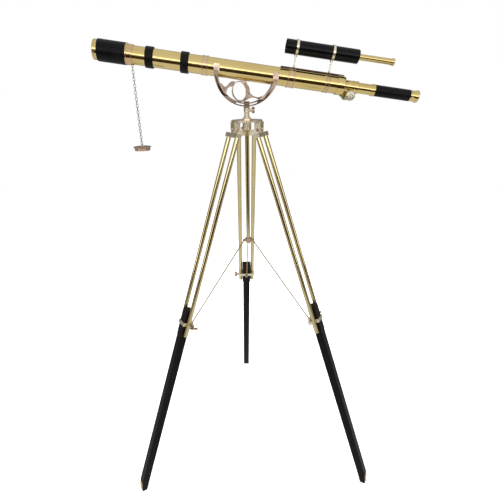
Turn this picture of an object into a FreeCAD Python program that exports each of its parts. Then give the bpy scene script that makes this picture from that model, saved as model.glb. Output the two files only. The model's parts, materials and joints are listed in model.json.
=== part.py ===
import FreeCAD, Part
import math
import os
import re

# Brass refracting telescope on a folding tripod, in millimetres.
# Working frame: +Z up, ground at Z = 0, the tripod's column on the Z axis, the barrel along X
# (object glass towards -X, eyepiece towards +X), rear leg towards +Y. At the end everything is
# slid over the ground so that the origin lies under the middle of the finished object.

doc = FreeCAD.newDocument("telescope_on_tripod")
sheet = doc.addObject("Spreadsheet::Sheet", "Sizes")

SIZES = {
    # clearances
    "run_gap": 0.06,            # radial, shaft in hole
    "side_gap": 0.3,            # between flat faces that slide past each other
    "open_gap": 2.5,            # round the stays' open lower pivots
    # tripod head
    "hub_height": 1385,
    "hub_radius": 50,
    "hub_thickness": 5,
    "boss_radius": 14,
    "boss_depth": 24,
    "hinge_inset": 4,
    "hinge_drop": 28.5,
    "leg_splay": 19.6,          # degrees from the vertical
    "lug_gap": 14,
    "lug_thickness": 5,
    "lug_round": 8,
    "pin_radius": 3,
    # upper legs
    "tongue_round": 7.4,
    "crossbar_top": 9.5,
    "crossbar_height": 13,
    "crossbar_depth": 18,
    "tube_radius": 7.5,
    "tube_wall": 1,
    "tube_spacing": 52,
    "clamp_distance": 680,
    "tube_overhang": 29,
    "block_overlap": 54,        # guide block above the clamp
    "block_gap": 1,
    "block_shoulder": 3,
    "clamp_height": 13,
    "strap_thickness": 2.6,
    # lower legs
    "block_length": 104,
    "wood_depth": 28,
    "toe_length": 42,
    "toe_setback": 10,
    "toe_plate": 2.5,
    "toe_plate_radius": 11,
    # column, collar and stays
    "column_radius": 6.75,
    "column_length": 404,
    "collar_radius": 11.5,
    "collar_height": 12,
    "stay_radius": 1.6,
    "stay_eye": 4,
    "stay_eye_thickness": 3.4,
    "stay_pin": 1.5,
    "collar_pivot": 18,
    "clamp_pivot": 28,
    # wing screws
    "wing_shaft": 2.5,
    "wing_boss": 4.5,
    "wing_span": 9,
    "wing_disc": 6.5,
    "wing_thickness": 3,
    "post_wing_span": 4.6,
    "post_wing_disc": 5,
    # post and fork head
    "post_radius": 7.8,
    "post_flange": 16,
    "post_height": 34.5,
    "socket_radius": 9.6,
    "socket_height": 11,
    "spindle_radius": 5,
    "spindle_length": 26,
    "cheek_width": 17,
    "cheek_thickness": 4,
    "clamp_bolt": 2,
    # quadrant bracket, centred on the optical axis above the post
    "elevation": 8.66,          # degrees, object glass up
    "head_rise": 4.5,           # from the post's top to the foot of the arc
    "arc_outer": 98,
    "arc_depth": 11,
    "arc_width": 16,
    "slot_angle": 20,           # degrees each side of the fork's bolt
    "tip_length": 17,
    "tip_wall": 6.5,            # fork cheek outside the barrel
    "tip_rise": 9,
    "scroll_thickness": 10,
    "ring_minor": 0.317,        # oval opening, as parts of the room between barrel and arc
    "ring_major": 0.423,
    "ring_wall": 4.5,
    "ring_shift": 4,
    "ring_tilt": 21,
    # main barrel; its front is a station on the optical axis, from the bracket's centre
    "barrel_radius": 25.5,
    "barrel_wall": 1.2,
    "barrel_front": -346,
    "barrel_length": 649.6,
    "dew_length": 94.9,
    "dew_step": 2,
    "dew_wall": 2.3,
    "dew_leather": 2.6,
    "rim_width": 12.8,
    "cell_length": 14.3,        # from the dew cap's end to the barrel's
    "cell_overlap": 7.8,
    "lens_thickness": 6,
    "band_thickness": 4,
    "band_width": 24,
    "front_band_setback": 55,
    "rear_band_setback": 159.6,
    "ring_rise": 2.4,
    "front_ring_setback": 220,
    "front_ring_width": 18,
    "middle_ring_reach": 166.2, # stations ahead of the barrel's back end
    "middle_ring_width": 22,
    "rear_ring_reach": 54.1,
    "rear_ring_width": 12.7,
    "end_ring_width": 16,
    "end_ring_reach": 6.4,
    # focuser
    "sleeve_radius": 17.5,
    "sleeve_wall": 2.4,
    "sleeve_length": 160,
    "sleeve_reach": 46.4,       # beyond the barrel's back end
    "sleeve_ring": 19,
    "gear_module": 0.8,
    "pinion_teeth": 14,
    "rack_base": 1.2,
    "rack_width": 8,
    "pinion_reach": 21.4,
    "pinion_shaft": 2.5,
    "gear_backlash": 0.16,
    "knob_radius": 14.5,
    "knob_width": 9,
    "knob_offset": 25,
    "housing_wall": 4,
    # eyepiece
    "eye_tube_wall": 1.2,
    "eye_tube_inside": 130,     # length inside the sleeve
    "eye_ring_reach": 40.4,
    "eye_ring_width": 13,
    "grip_length": 114.1,
    "grip_leather": 1.7,
    "eye_cup_length": 28,
    "eye_cup_radius": 18,
    # rail and finder
    "rail_length": 197.2,
    "rail_reach": 4.1,
    "rail_width": 12,
    "rail_thickness": 3.5,
    "finder_stem": 34.2,
    "finder_setback": 6.1,      # stations behind the rail's front end
    "finder_length": 222.6,
    "finder_radius": 19.5,
    "finder_wall": 2,
    "finder_ring": 2.3,
    "finder_ring_width": 7,
    "front_mount_setback": 39.5,
    "rear_mount_setback": 149.7,
    "finder_post": 2,
    "finder_draw_radius": 8.5,
    "finder_draw_wall": 1,
    "finder_draw_inside": 86,
    "finder_draw_reach": 111.4,
    # lens cap on its chain
    "lug_setback": 3.1,
    "lug_eye": 3.2,
    "chain_wire": 0.85,
    "link_inside": 9.6,
    "link_width": 4.4,
    "chain_links": 24,
    "chain_slack": 0.25,
    "cap_step": 1,
    "cap_flange": 3,
    "cap_plug": 9,
}

# Sizes that follow from the ones above, so that the pieces still meet when one of them changes.
FOLLOWING = {
    "hinge_radius": "hub_radius - hinge_inset",
    "block_width": "tube_spacing - 2 * tube_radius - 2 * block_gap",
    "wood_width": "block_width - 2 * block_shoulder",
    "tube_length": "clamp_distance + tube_overhang",
    "block_top": "clamp_distance - block_overlap",
    "arc_inner": "arc_outer - arc_depth",
    "axis_height": "hub_height + post_height + head_rise + arc_outer",
    "fork_width": "2 * (barrel_radius + tip_wall)",
    "barrel_back": "barrel_front + barrel_length",
    "dew_radius": "barrel_radius + dew_step",
    "dew_back": "barrel_front - cell_length",
    "dew_front": "dew_back - dew_length",
    "cell_back": "barrel_front + cell_overlap",
    "lug_at": "barrel_front + lug_setback",
    "front_band_at": "barrel_front + front_band_setback",
    "rear_band_at": "barrel_front + rear_band_setback",
    "front_ring_at": "barrel_front + front_ring_setback",
    "middle_ring_at": "barrel_back - middle_ring_reach",
    "rear_ring_at": "barrel_back - rear_ring_reach",
    "end_ring_back": "barrel_back - end_ring_reach",
    "pinion_at": "barrel_back + pinion_reach",
    "sleeve_back": "barrel_back + sleeve_reach",
    "sleeve_front": "sleeve_back - sleeve_length",
    "eye_tube_front": "sleeve_back - eye_tube_inside",
    "eye_ring_at": "sleeve_back + eye_ring_reach",
    "grip_end": "eye_ring_at + eye_ring_width + grip_length",
    "eye_cup_end": "grip_end + eye_cup_length",
    "rail_back": "barrel_back - rail_reach",
    "rail_front": "rail_back - rail_length",
    "finder_rise": "barrel_radius + 0.3 + rail_thickness + finder_stem + finder_radius",
    "finder_front": "rail_front + finder_setback",
    "finder_back": "finder_front + finder_length",
    "finder_front_ring_at": "rail_front + front_mount_setback",
    "finder_rear_ring_at": "rail_front + rear_mount_setback",
    "finder_draw_front": "finder_back - finder_draw_inside",
    "finder_draw_back": "finder_back + finder_draw_reach",
    "cap_radius": "dew_radius + cap_step",
}

rows = list(SIZES.items()) + [(alias, "=" + text) for alias, text in FOLLOWING.items()]
for row, (alias, value) in enumerate(rows, start=1):
    sheet.set("A%d" % row, alias.replace("_", " "))
    sheet.set("B%d" % row, str(value))
    sheet.setAlias("B%d" % row, alias)
doc.recompute()


def size(alias):
    """The sheet's number for one driving dimension."""
    return float(sheet.get(alias))


def rule(text):
    """An expression in the sheet's aliases, such as rule("hub_radius + 2")."""
    return re.sub(r"[a-z]+(?:_[a-z]+)+", lambda word: "Sizes." + word.group(0), str(text))


def bind(item, **rules):
    for name, text in rules.items():
        item.setExpression(name, rule(text))


ORIGIN = FreeCAD.Vector(0, 0, 0)
AXIS = {
    "x": FreeCAD.Rotation(FreeCAD.Vector(0, 1, 0), 90),
    "y": FreeCAD.Rotation(FreeCAD.Vector(1, 0, 0), -90),
    "z": FreeCAD.Rotation(),
}


def locate(item, at, rotation):
    item.Placement = FreeCAD.Placement(ORIGIN, rotation)
    for letter, text in zip("xyz", at):
        item.setExpression("Placement.Base." + letter, rule(text))
    return item


def cylinder(radius, length, at=(0, 0, 0), along="z"):
    item = doc.addObject("Part::Cylinder", "Cylinder")
    bind(item, Radius=radius, Height=length)
    return locate(item, at, AXIS[along])


def cone(start_radius, end_radius, length, at=(0, 0, 0), along="z"):
    item = doc.addObject("Part::Cone", "Cone")
    bind(item, Radius1=start_radius, Radius2=end_radius, Height=length)
    return locate(item, at, AXIS[along])


def torus(ring_radius, wire_radius, at=(0, 0, 0), along="z"):
    item = doc.addObject("Part::Torus", "Torus")
    bind(item, Radius1=ring_radius, Radius2=wire_radius)
    return locate(item, at, AXIS[along])


def block(x_span, y_span, z_span, rotation=AXIS["z"]):
    """A box between two expressions on each axis."""
    item = doc.addObject("Part::Box", "Box")
    spans = (x_span, y_span, z_span)
    for name, (low, high) in zip(("Length", "Width", "Height"), spans):
        item.setExpression(name, rule("(%s) - (%s)" % (high, low)))
    return locate(item, [low for low, high in spans], rotation)


def fuse(*items):
    item = doc.addObject("Part::MultiFuse", "Fusion")
    item.Shapes = list(items)
    return item


def cut(base, *tools):
    item = doc.addObject("Part::Cut", "Cut")
    item.Base = base
    item.Tool = tools[0] if len(tools) == 1 else fuse(*tools)
    return item


def common(*items):
    item = doc.addObject("Part::MultiCommon", "Common")
    item.Shapes = list(items)
    return item


def group(*items):
    item = doc.addObject("Part::Compound", "Group")
    item.Links = list(items)
    return item


def feature(shape):
    item = doc.addObject("Part::Feature", "Shape")
    item.Shape = shape
    return item


def moved(item, placement):
    """A copy of a finished item, placed on its own."""
    holder = group(item)
    holder.Placement = placement
    return holder


NODES = []


def node(label, item, placement=FreeCAD.Placement()):
    item.Label = label
    item.Placement = placement
    NODES.append(item)
    return item


def turned(sections, bores=()):
    """A lathe-turned piece along z: (start, end, start radius, end radius) for each section."""
    def solids(rows):
        for start, end, first, last in rows:
            length = "(%s) - (%s)" % (end, start)
            if str(first) == str(last):
                yield cylinder(first, length, (0, 0, start))
            else:
                yield cone(first, last, length, (0, 0, start))

    body = list(solids(sections))
    body = body[0] if len(body) == 1 else fuse(*body)
    holes = list(solids(bores))
    return cut(body, *holes) if holes else group(body)


def wing_screw(shaft, neck, span="wing_span", wing="wing_disc"):
    """A thumb screw along +z: tip at 0, threaded shaft, then a boss with two round wings."""
    shoulder = "%s + %s" % (shaft, neck)
    parts = [
        cylinder("wing_shaft", shoulder),
        cylinder("wing_boss", "%s + %s * 0.9" % (neck, wing), (0, 0, shaft)),
        block(("-" + span, span), ("-wing_thickness / 2", "wing_thickness / 2"),
              (shoulder, "%s + %s * 0.9" % (shoulder, wing))),
    ]
    for side in ("-" + span, span):
        parts.append(cylinder(wing, "wing_thickness",
                              (side, "-wing_thickness / 2", "%s + %s * 0.6" % (shoulder, wing)), "y"))
    return fuse(*parts)


# Tripod head ---------------------------------------------------------------------------------

LEGS = {"rear": 90, "left": 210, "right": 330}
HINGE_Z = "hub_height - hinge_drop"
HUB_UNDER = "hub_height - hub_thickness"


def spin(angle):
    return FreeCAD.Placement(ORIGIN, FreeCAD.Rotation(FreeCAD.Vector(0, 0, 1), angle))


def hinge_lugs():
    """Two cheeks and the bore through them, for a leg towards +x."""
    cheeks = []
    for low, high in (("-lug_gap / 2 - lug_thickness", "-lug_gap / 2"),
                      ("lug_gap / 2", "lug_gap / 2 + lug_thickness")):
        cheeks.append(block(("hinge_radius - lug_round - 6", "hinge_radius + lug_round"),
                            (low, high), (HINGE_Z, HUB_UNDER + " + 1")))
        cheeks.append(cylinder("lug_round", "lug_thickness",
                               ("hinge_radius", low, HINGE_Z), "y"))
    bore = cylinder("pin_radius + run_gap", "lug_gap + 4 * lug_thickness",
                    ("hinge_radius", "-lug_gap / 2 - 2 * lug_thickness", HINGE_Z), "y")
    return fuse(*cheeks), bore


def hinge_bolt():
    """Bolt with a domed head on one side and an acorn nut on the other."""
    outer = "lug_gap / 2 + lug_thickness"
    return fuse(
        cylinder("pin_radius", "lug_gap + 2 * lug_thickness + 6",
                 ("hinge_radius", "-(%s) - 3" % outer, HINGE_Z), "y"),
        cylinder("pin_radius * 1.8", 3, ("hinge_radius", "-(%s) - 3" % outer, HINGE_Z), "y"),
        cylinder("pin_radius * 1.8", 3, ("hinge_radius", outer, HINGE_Z), "y"),
        cone("pin_radius * 1.4", "pin_radius * 0.6", 3.5,
             ("hinge_radius", outer + " + 3", HINGE_Z), "y"),
    )


disc = cylinder("hub_radius", "hub_thickness", (0, 0, HUB_UNDER))
boss = cylinder("boss_radius", "boss_depth + 1", (0, 0, HUB_UNDER + " - boss_depth"))
lug_parts = [hinge_lugs() for leg in LEGS]
lugs = [moved(cheeks, spin(angle)) for (cheeks, bore), angle in zip(lug_parts, LEGS.values())]
bores = [moved(bore, spin(angle)) for (cheeks, bore), angle in zip(lug_parts, LEGS.values())]
column_socket = cylinder("column_radius", "boss_depth - 4", (0, 0, HUB_UNDER + " - boss_depth"))
post_thread = cylinder("spindle_radius", "hub_thickness + 4", (0, 0, HUB_UNDER + " - 4"))
node("tripod_hub", cut(fuse(disc, boss, *lugs), column_socket, post_thread, *bores))
node("leg_hinge_bolts", group(*[moved(hinge_bolt(), spin(angle)) for angle in LEGS.values()]))

# Centre column with its end nut

COLUMN_TOP = HUB_UNDER + " - 4"
COLUMN_END = COLUMN_TOP + " - column_length"
node("centre_column", group(cylinder("column_radius", "column_length", (0, 0, COLUMN_END))))
node("column_end_nut", fuse(
    cone("column_radius", "column_radius + 2", 4, (0, 0, COLUMN_END + " - 8")),
    cylinder("column_radius + 2", 4, (0, 0, COLUMN_END + " - 4")),
))

# Collar that slides on the column and carries the three stays

COLLAR_Z = COLUMN_END + " + side_gap"
PIVOT_Z = COLLAR_Z + " + collar_height / 2"
EYE_SLOT = "stay_eye_thickness / 2 + side_gap"


def collar_lugs():
    inner = EYE_SLOT
    outer = EYE_SLOT + " + 2"
    plates = []
    for low, high in (("-(%s)" % outer, "-(%s)" % inner), (inner, outer)):
        plates.append(block(("column_radius + 2", "collar_pivot"), (low, high),
                            (PIVOT_Z + " - stay_eye", PIVOT_Z + " + stay_eye")))
        plates.append(cylinder("stay_eye", 2, ("collar_pivot", low, PIVOT_Z), "y"))
    pin = cylinder("stay_pin", "2 * (%s)" % outer,
                   ("collar_pivot", "-(%s)" % outer, PIVOT_Z), "y")
    return fuse(*(plates + [pin]))


collar_body = cylinder("collar_radius", "collar_height", (0, 0, COLLAR_Z))
collar_arms = [moved(collar_lugs(), spin(angle)) for angle in LEGS.values()]
collar_bore = cylinder("column_radius + run_gap", "collar_height + 2", (0, 0, COLLAR_Z + " - 1"))
node("stay_collar", cut(fuse(collar_body, *collar_arms), collar_bore))

# Legs, built along -z from the hinge pin, x outwards and y along the pin ------------------------

splay = math.radians(size("leg_splay"))
hinge_height = size("hub_height") - size("hinge_drop")
foot_distance = hinge_height / math.cos(splay)


def leg_placement(angle):
    tilt = FreeCAD.Rotation(FreeCAD.Vector(0, 1, 0), -size("leg_splay"))
    hinge = FreeCAD.Placement(FreeCAD.Vector(size("hinge_radius"), 0, hinge_height), tilt)
    return spin(angle).multiply(hinge)


TUBE_TOP = "crossbar_top + 3"
TUBE_END = TUBE_TOP + " + tube_length"
TUBE_SIDES = ("-tube_spacing / 2", "tube_spacing / 2")


def leg_head():
    half = "tube_spacing / 2 + tube_radius + 2"
    tongue_half = "lug_gap / 2 - side_gap"
    bar = block(("-crossbar_depth / 2", "crossbar_depth / 2"), ("-(%s)" % half, half),
                ("-crossbar_top - crossbar_height", "-crossbar_top"))
    tongue = block(("-tongue_round", "tongue_round"),
                   ("-(%s)" % tongue_half, tongue_half), ("-crossbar_top - 1", 0))
    knuckle = cylinder("tongue_round", "2 * (%s)" % tongue_half,
                       (0, "-(%s)" % tongue_half, 0), "y")
    pin_hole = cylinder("pin_radius + run_gap", "lug_gap + 2", (0, "-lug_gap / 2 - 1", 0), "y")
    sockets = [cylinder("tube_radius", "crossbar_height", (0, side, "-(%s) - crossbar_height" % TUBE_TOP))
               for side in TUBE_SIDES]
    return cut(fuse(bar, tongue, knuckle), pin_hole, *sockets)


def leg_tubes():
    solids = []
    for side in TUBE_SIDES:
        outside = cylinder("tube_radius", "tube_length", (0, side, "-(%s)" % TUBE_END))
        inside = cylinder("tube_radius - tube_wall", "tube_length + 2",
                          (0, side, "-(%s) - 1" % TUBE_END))
        solids.append(cut(outside, inside))
        plug = fuse(
            cylinder("tube_radius - tube_wall", 12, (0, side, "-(%s)" % TUBE_END)),
            cylinder("tube_radius", 2, (0, side, "-(%s) - 2" % TUBE_END)),
            cone("tube_radius - 2.5", "tube_radius", 2, (0, side, "-(%s) - 4" % TUBE_END)),
        )
        solids.append(plug)
    return group(*solids)


WINDOW_Y = "block_width / 2 + side_gap"
WINDOW_X = "wood_depth / 2 + side_gap"
SCREW_X = "-tube_radius - wing_shaft - 1"
CLAMP_END_Y = "tube_spacing / 2 + tube_radius + 2.5"


def leg_clamp():
    """Casting brazed to both tubes, with a strap over the wood and lugs for the stay."""
    low = "-clamp_distance - clamp_height / 2"
    high = "-clamp_distance + clamp_height / 2"
    back = "-(%s) - 4" % WINDOW_X
    front = WINDOW_X + " + strap_thickness"
    saddle = block((back, 0), ("-(%s)" % CLAMP_END_Y, CLAMP_END_Y), (low, high))
    cheek = WINDOW_Y + " + strap_thickness"
    strap = block((-1, front), ("-(%s)" % cheek, cheek), (low, high))
    window = block(("-(%s)" % WINDOW_X, WINDOW_X), ("-(%s)" % WINDOW_Y, WINDOW_Y),
                   (low + " - 1", high + " + 1"))
    tube_bores = [cylinder("tube_radius", "clamp_height + 2", (0, side, low + " - 1"))
                  for side in TUBE_SIDES]
    screw_hole = cylinder("wing_shaft + run_gap", "tube_spacing",
                          (SCREW_X, WINDOW_Y + " - 1", "-clamp_distance"), "y")
    lug_low = "stay_eye_thickness / 2 + 0.8"
    lug_high = lug_low + " + 2.5"
    lugs = []
    for start, end in (("-(%s)" % lug_high, "-(%s)" % lug_low), (lug_low, lug_high)):
        lugs.append(block(("-clamp_pivot", back + " + 1"), (start, end),
                          ("-clamp_distance - stay_eye", "-clamp_distance + stay_eye")))
        lugs.append(cylinder("stay_eye", 2.5, ("-clamp_pivot", start, "-clamp_distance"), "y"))
    return cut(fuse(saddle, strap, *lugs), window, screw_hole, *tube_bores)


toe_angle = math.degrees(math.atan2(size("toe_setback"), size("toe_length")))
toe_frame = FreeCAD.Placement(
    FreeCAD.Vector(size("wood_depth") / 2, 0, size("toe_length") - foot_distance),
    FreeCAD.Rotation(FreeCAD.Vector(0, 1, 0), toe_angle))


def lower_leg():
    """Wooden slide: a wide guide block at the top, a plain leg, an angled toe, a level foot."""
    guide = block(("-wood_depth / 2", "wood_depth / 2"), ("-block_width / 2", "block_width / 2"),
                  ("-block_top - block_length", "-block_top"))
    plain = block(("-wood_depth / 2", "wood_depth / 2"), ("-wood_width / 2", "wood_width / 2"),
                  (-foot_distance - 20, "-block_top - 1"))
    level = FreeCAD.Placement(FreeCAD.Vector(0, 0, -foot_distance),
                              FreeCAD.Rotation(FreeCAD.Vector(0, 1, 0), size("leg_splay")))
    ground = moved(block((-60, 60), (-60, 60), (-80, 0)), level)
    toe = moved(block((0, 40), (-60, 60), (-150, 0)), toe_frame)
    return cut(fuse(guide, plain), ground, toe)


def toe_plate():
    """Oval brass plate screwed to the toe's sloping face."""
    upper = "-toe_plate_radius - 2"
    lower = "-toe_length + toe_plate_radius + 4"
    plate = fuse(
        cylinder("toe_plate_radius", "toe_plate", (0, 0, upper), "x"),
        cylinder("toe_plate_radius", "toe_plate", (0, 0, lower), "x"),
        block((0, "toe_plate"), ("-toe_plate_radius", "toe_plate_radius"), (lower, upper)),
        cylinder(2.5, "toe_plate + 1", (0, 0, upper), "x"),
        cylinder(2.5, "toe_plate + 1", (0, 0, lower), "x"),
    )
    return moved(plate, toe_frame)


SCREW_LENGTH = "(%s) - (%s)" % (CLAMP_END_Y, WINDOW_Y)


def leg_wing_screw():
    at = FreeCAD.Vector(-size("tube_radius") - size("wing_shaft") - 1,
                        size("block_width") / 2 + size("side_gap"), -size("clamp_distance"))
    turn = FreeCAD.Rotation(FreeCAD.Vector(0, 0, 1), FreeCAD.Vector(0, 1, 0))
    return moved(wing_screw(SCREW_LENGTH, "side_gap + 9"), FreeCAD.Placement(at, turn))


for leg, angle in LEGS.items():
    place = leg_placement(angle)
    node("leg_head_" + leg, leg_head(), place)
    node("leg_tubes_" + leg, leg_tubes(), place)
    node("leg_clamp_" + leg, leg_clamp(), place)
    node("leg_wing_screw_" + leg, group(leg_wing_screw()), place)
    node("lower_leg_" + leg, lower_leg(), place)
    node("toe_plate_" + leg, group(toe_plate()), place)

# Stays, each from the collar's pin down to the lugs of a leg clamp

collar_pivot_height = (size("hub_height") - size("hub_thickness") - 4 - size("column_length")
                       + size("side_gap") + size("collar_height") / 2)
clamp_pivot_radius = (size("hinge_radius") + size("clamp_distance") * math.sin(splay)
                      - size("clamp_pivot") * math.cos(splay))
clamp_pivot_height = (hinge_height - size("clamp_distance") * math.cos(splay)
                      - size("clamp_pivot") * math.sin(splay))
stay_run = clamp_pivot_radius - size("collar_pivot")
stay_drop = collar_pivot_height - clamp_pivot_height
stay_length = math.hypot(stay_run, stay_drop)
stay_lean = math.degrees(math.atan2(stay_run, stay_drop))


def stay():
    """Thin rod with a flat eye at each end, hanging along -z from its upper pivot."""
    eyes = [cylinder("stay_eye", "stay_eye_thickness", (0, "-stay_eye_thickness / 2", level), "y")
            for level in (0, -stay_length)]
    rod = cylinder("stay_radius", stay_length - 4, (0, 0, 2 - stay_length))
    hole = cylinder("stay_pin + run_gap", "stay_eye_thickness + 2",
                    (0, "-stay_eye_thickness / 2 - 1", 0), "y")
    return cut(fuse(rod, *eyes), hole)


for leg, angle in LEGS.items():
    hang = FreeCAD.Placement(
        FreeCAD.Vector(size("collar_pivot"), 0, collar_pivot_height),
        FreeCAD.Rotation(FreeCAD.Vector(0, 1, 0), -stay_lean))
    node("stay_" + leg, stay(), spin(angle).multiply(hang))

# Post on the hub, and the fork head that turns in it --------------------------------------------

SOCKET_TOP = "hub_height + post_height"
SOCKET_LOW = SOCKET_TOP + " - socket_height"
SCREW_Z = SOCKET_TOP + " - socket_height * 0.55"
SPINDLE_HOLE = "spindle_radius + run_gap"
post_body = turned(
    [
        ("hub_height", "hub_height + 2.5", "post_flange", "post_flange"),
        ("hub_height + 2.5", "hub_height + 13", "post_flange - 1", "post_radius"),
        ("hub_height + 13", SOCKET_LOW + " - 2", "post_radius", "post_radius"),
        (SOCKET_LOW + " - 2", SOCKET_LOW, "post_radius", "socket_radius"),
        (SOCKET_LOW, SOCKET_TOP, "socket_radius", "socket_radius"),
        (HUB_UNDER, "hub_height", "spindle_radius", "spindle_radius"),
    ])
post_bead = torus("post_radius", 1, (0, 0, "hub_height + 16"))
screw_boss = cylinder("wing_boss", "socket_radius - spindle_radius + 3",
                      ("spindle_radius + 1", 0, SCREW_Z), "x")
spindle_bore = cylinder(SPINDLE_HOLE, "spindle_length + 1",
                        (0, 0, SOCKET_TOP + " - spindle_length"))
screw_bore = cylinder("wing_shaft + run_gap", 30, (0, 0, SCREW_Z), "x")
node("post", cut(fuse(post_body, post_bead, screw_boss), spindle_bore, screw_bore))

POST_SCREW_SHAFT = "socket_radius + 4.2 - spindle_radius - side_gap"
post_screw_place = FreeCAD.Placement(
    FreeCAD.Vector(size("spindle_radius") + size("side_gap"), 0,
                   size("hub_height") + size("post_height") - size("socket_height") * 0.55),
    FreeCAD.Rotation(FreeCAD.Vector(0, 1, 0), 90))
node("post_wing_screw", wing_screw(POST_SCREW_SHAFT, "side_gap + 3.4", "post_wing_span",
                                   "post_wing_disc"), post_screw_place)

HEAD_Z = SOCKET_TOP + " + side_gap"
ARC_LOW = "axis_height - arc_outer"
BOLT_RADIUS = "(arc_outer + arc_inner) / 2"
BOLT_Z = "axis_height - (%s)" % BOLT_RADIUS
CHEEK_IN = "arc_width / 2 + side_gap"
CHEEK_TOP = "axis_height - arc_inner + 4"
head_parts = [
    cylinder("spindle_radius", "spindle_length - 1 + side_gap",
             (0, 0, SOCKET_TOP + " - spindle_length + 1")),
    cylinder("socket_radius", "(%s) - side_gap - (%s)" % (ARC_LOW, HEAD_Z), (0, 0, HEAD_Z)),
    block(("-cheek_width / 2", "cheek_width / 2"),
          ("-(%s) - cheek_thickness" % CHEEK_IN, CHEEK_IN + " + cheek_thickness"),
          (HEAD_Z, CHEEK_TOP)),
]
arc_space = common(
    cylinder("arc_outer + side_gap", "2 * (%s)" % CHEEK_IN, (0, "-(%s)" % CHEEK_IN, "axis_height"), "y"),
    block((-60, 60), (-30, 30), (HEAD_Z + " - 40", "axis_height")),
)
bolt_hole = cylinder("clamp_bolt", 60, (0, -30, BOLT_Z), "y")
node("fork_head", cut(fuse(*head_parts), arc_space, bolt_hole))

BOLT_END = CHEEK_IN + " + cheek_thickness"
node("fork_bolt", fuse(
    cylinder("clamp_bolt", "2 * (%s) + 4" % BOLT_END, (0, "-(%s) - 2" % BOLT_END, BOLT_Z), "y"),
    cylinder("clamp_bolt * 2", 2.4, (0, "-(%s) - 2.4" % BOLT_END, BOLT_Z), "y"),
    cylinder("clamp_bolt * 2.2", 2.4, (0, BOLT_END, BOLT_Z), "y"),
))

# Telescope: z runs along the optical axis to the eyepiece, x is up, y is towards the front ------

tilt = math.radians(size("elevation"))
BARREL = FreeCAD.Rotation(FreeCAD.Vector(math.sin(tilt), 0, math.cos(tilt)),
                          FreeCAD.Vector(0, -1, 0),
                          FreeCAD.Vector(math.cos(tilt), 0, -math.sin(tilt)), "ZXY")
AIM = FreeCAD.Placement(FreeCAD.Vector(0, 0, size("axis_height")), BARREL)


def polar(radius, angle):
    """A point of the bracket's plane: angle in degrees from straight down, + to the eyepiece."""
    turn = math.radians(angle)
    return FreeCAD.Vector(-radius * math.cos(turn), 0, radius * math.sin(turn))


def slab(curves, thickness):
    """A plate from edges in the bracket's plane, centred on it."""
    face = Part.Face(Part.Wire(curves))
    face.translate(FreeCAD.Vector(0, -thickness / 2, 0))
    return face.extrude(FreeCAD.Vector(0, thickness, 0))


def smooth(points):
    curve = Part.BSplineCurve()
    curve.interpolate(points)
    return curve.toShape()


def ellipse_slab(centre, along, across, lean, thickness):
    """An oval plate whose long axis leans forward by lean degrees from the up direction."""
    turn = math.radians(lean)
    long_axis = FreeCAD.Vector(math.cos(turn), 0, -math.sin(turn))
    short_axis = FreeCAD.Vector(math.sin(turn), 0, math.cos(turn))
    oval = Part.Ellipse(centre + long_axis * along, centre + short_axis * across, centre)
    return slab([oval.toShape()], thickness)


def bracket_arc():
    """The half-ring, widened into a fork at each tip, with the arc slot at its foot."""
    half = size("fork_width") / 2
    arc = cut(cylinder("arc_outer", "fork_width", (0, "-fork_width / 2", 0), "y"),
              cylinder("arc_inner", "fork_width + 2", (0, "-fork_width / 2 - 1", 0), "y"),
              block((0, "arc_outer + 1"), ("-fork_width", "fork_width"),
                    ("-arc_outer - 1", "arc_outer + 1")))
    narrow = size("arc_width") / 2
    deep = -size("arc_outer") - 1
    neck = -size("arc_inner") * math.cos(math.radians(size("slot_angle") + 14))
    shoulder = -size("barrel_radius") * 0.4
    outline = [
        FreeCAD.Vector(deep, -narrow, 0), FreeCAD.Vector(neck, -narrow, 0),
        FreeCAD.Vector(shoulder, -half, 0), FreeCAD.Vector(1, -half, 0),
        FreeCAD.Vector(1, half, 0), FreeCAD.Vector(shoulder, half, 0),
        FreeCAD.Vector(neck, narrow, 0), FreeCAD.Vector(deep, narrow, 0),
    ]
    reach = size("arc_outer") + 2
    face = Part.Face(Part.makePolygon(outline + outline[:1]))
    face.translate(FreeCAD.Vector(0, 0, -reach))
    fork = feature(face.extrude(FreeCAD.Vector(0, 0, 2 * reach)))
    tips = []
    for start in ("-arc_outer", "arc_outer - tip_length"):
        tips.append(block(("-tip_length * 0.6", "tip_rise"), ("-fork_width / 2", "fork_width / 2"),
                          (start, start + " + tip_length")))
    return fuse(common(arc, fork), *tips)


def arc_slot():
    """Curved slot that the fork's bolt runs in, with round ends."""
    middle = (size("arc_outer") + size("arc_inner")) / 2
    half = size("clamp_bolt") + 0.15
    reach = size("slot_angle")
    centre = size("elevation")
    inner, outer = middle - half, middle + half
    start, end = centre - reach, centre + reach

    def arc(radius):
        return Part.Arc(polar(radius, start), polar(radius, centre), polar(radius, end)).toShape()

    def end_cap(angle, direction):
        tip = polar(middle, angle + direction * math.degrees(half / middle))
        return Part.Arc(polar(inner, angle), tip, polar(outer, angle)).toShape()

    return slab([arc(inner), end_cap(end, 1), arc(outer), end_cap(start, -1)], 60)


def in_room(radius, angle):
    """A polar point; radius runs from 0 at the barrel's skin to 1 at the inside of the arc."""
    skin = size("barrel_radius")
    return polar(skin + radius * (size("arc_inner") - skin), angle)


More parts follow.
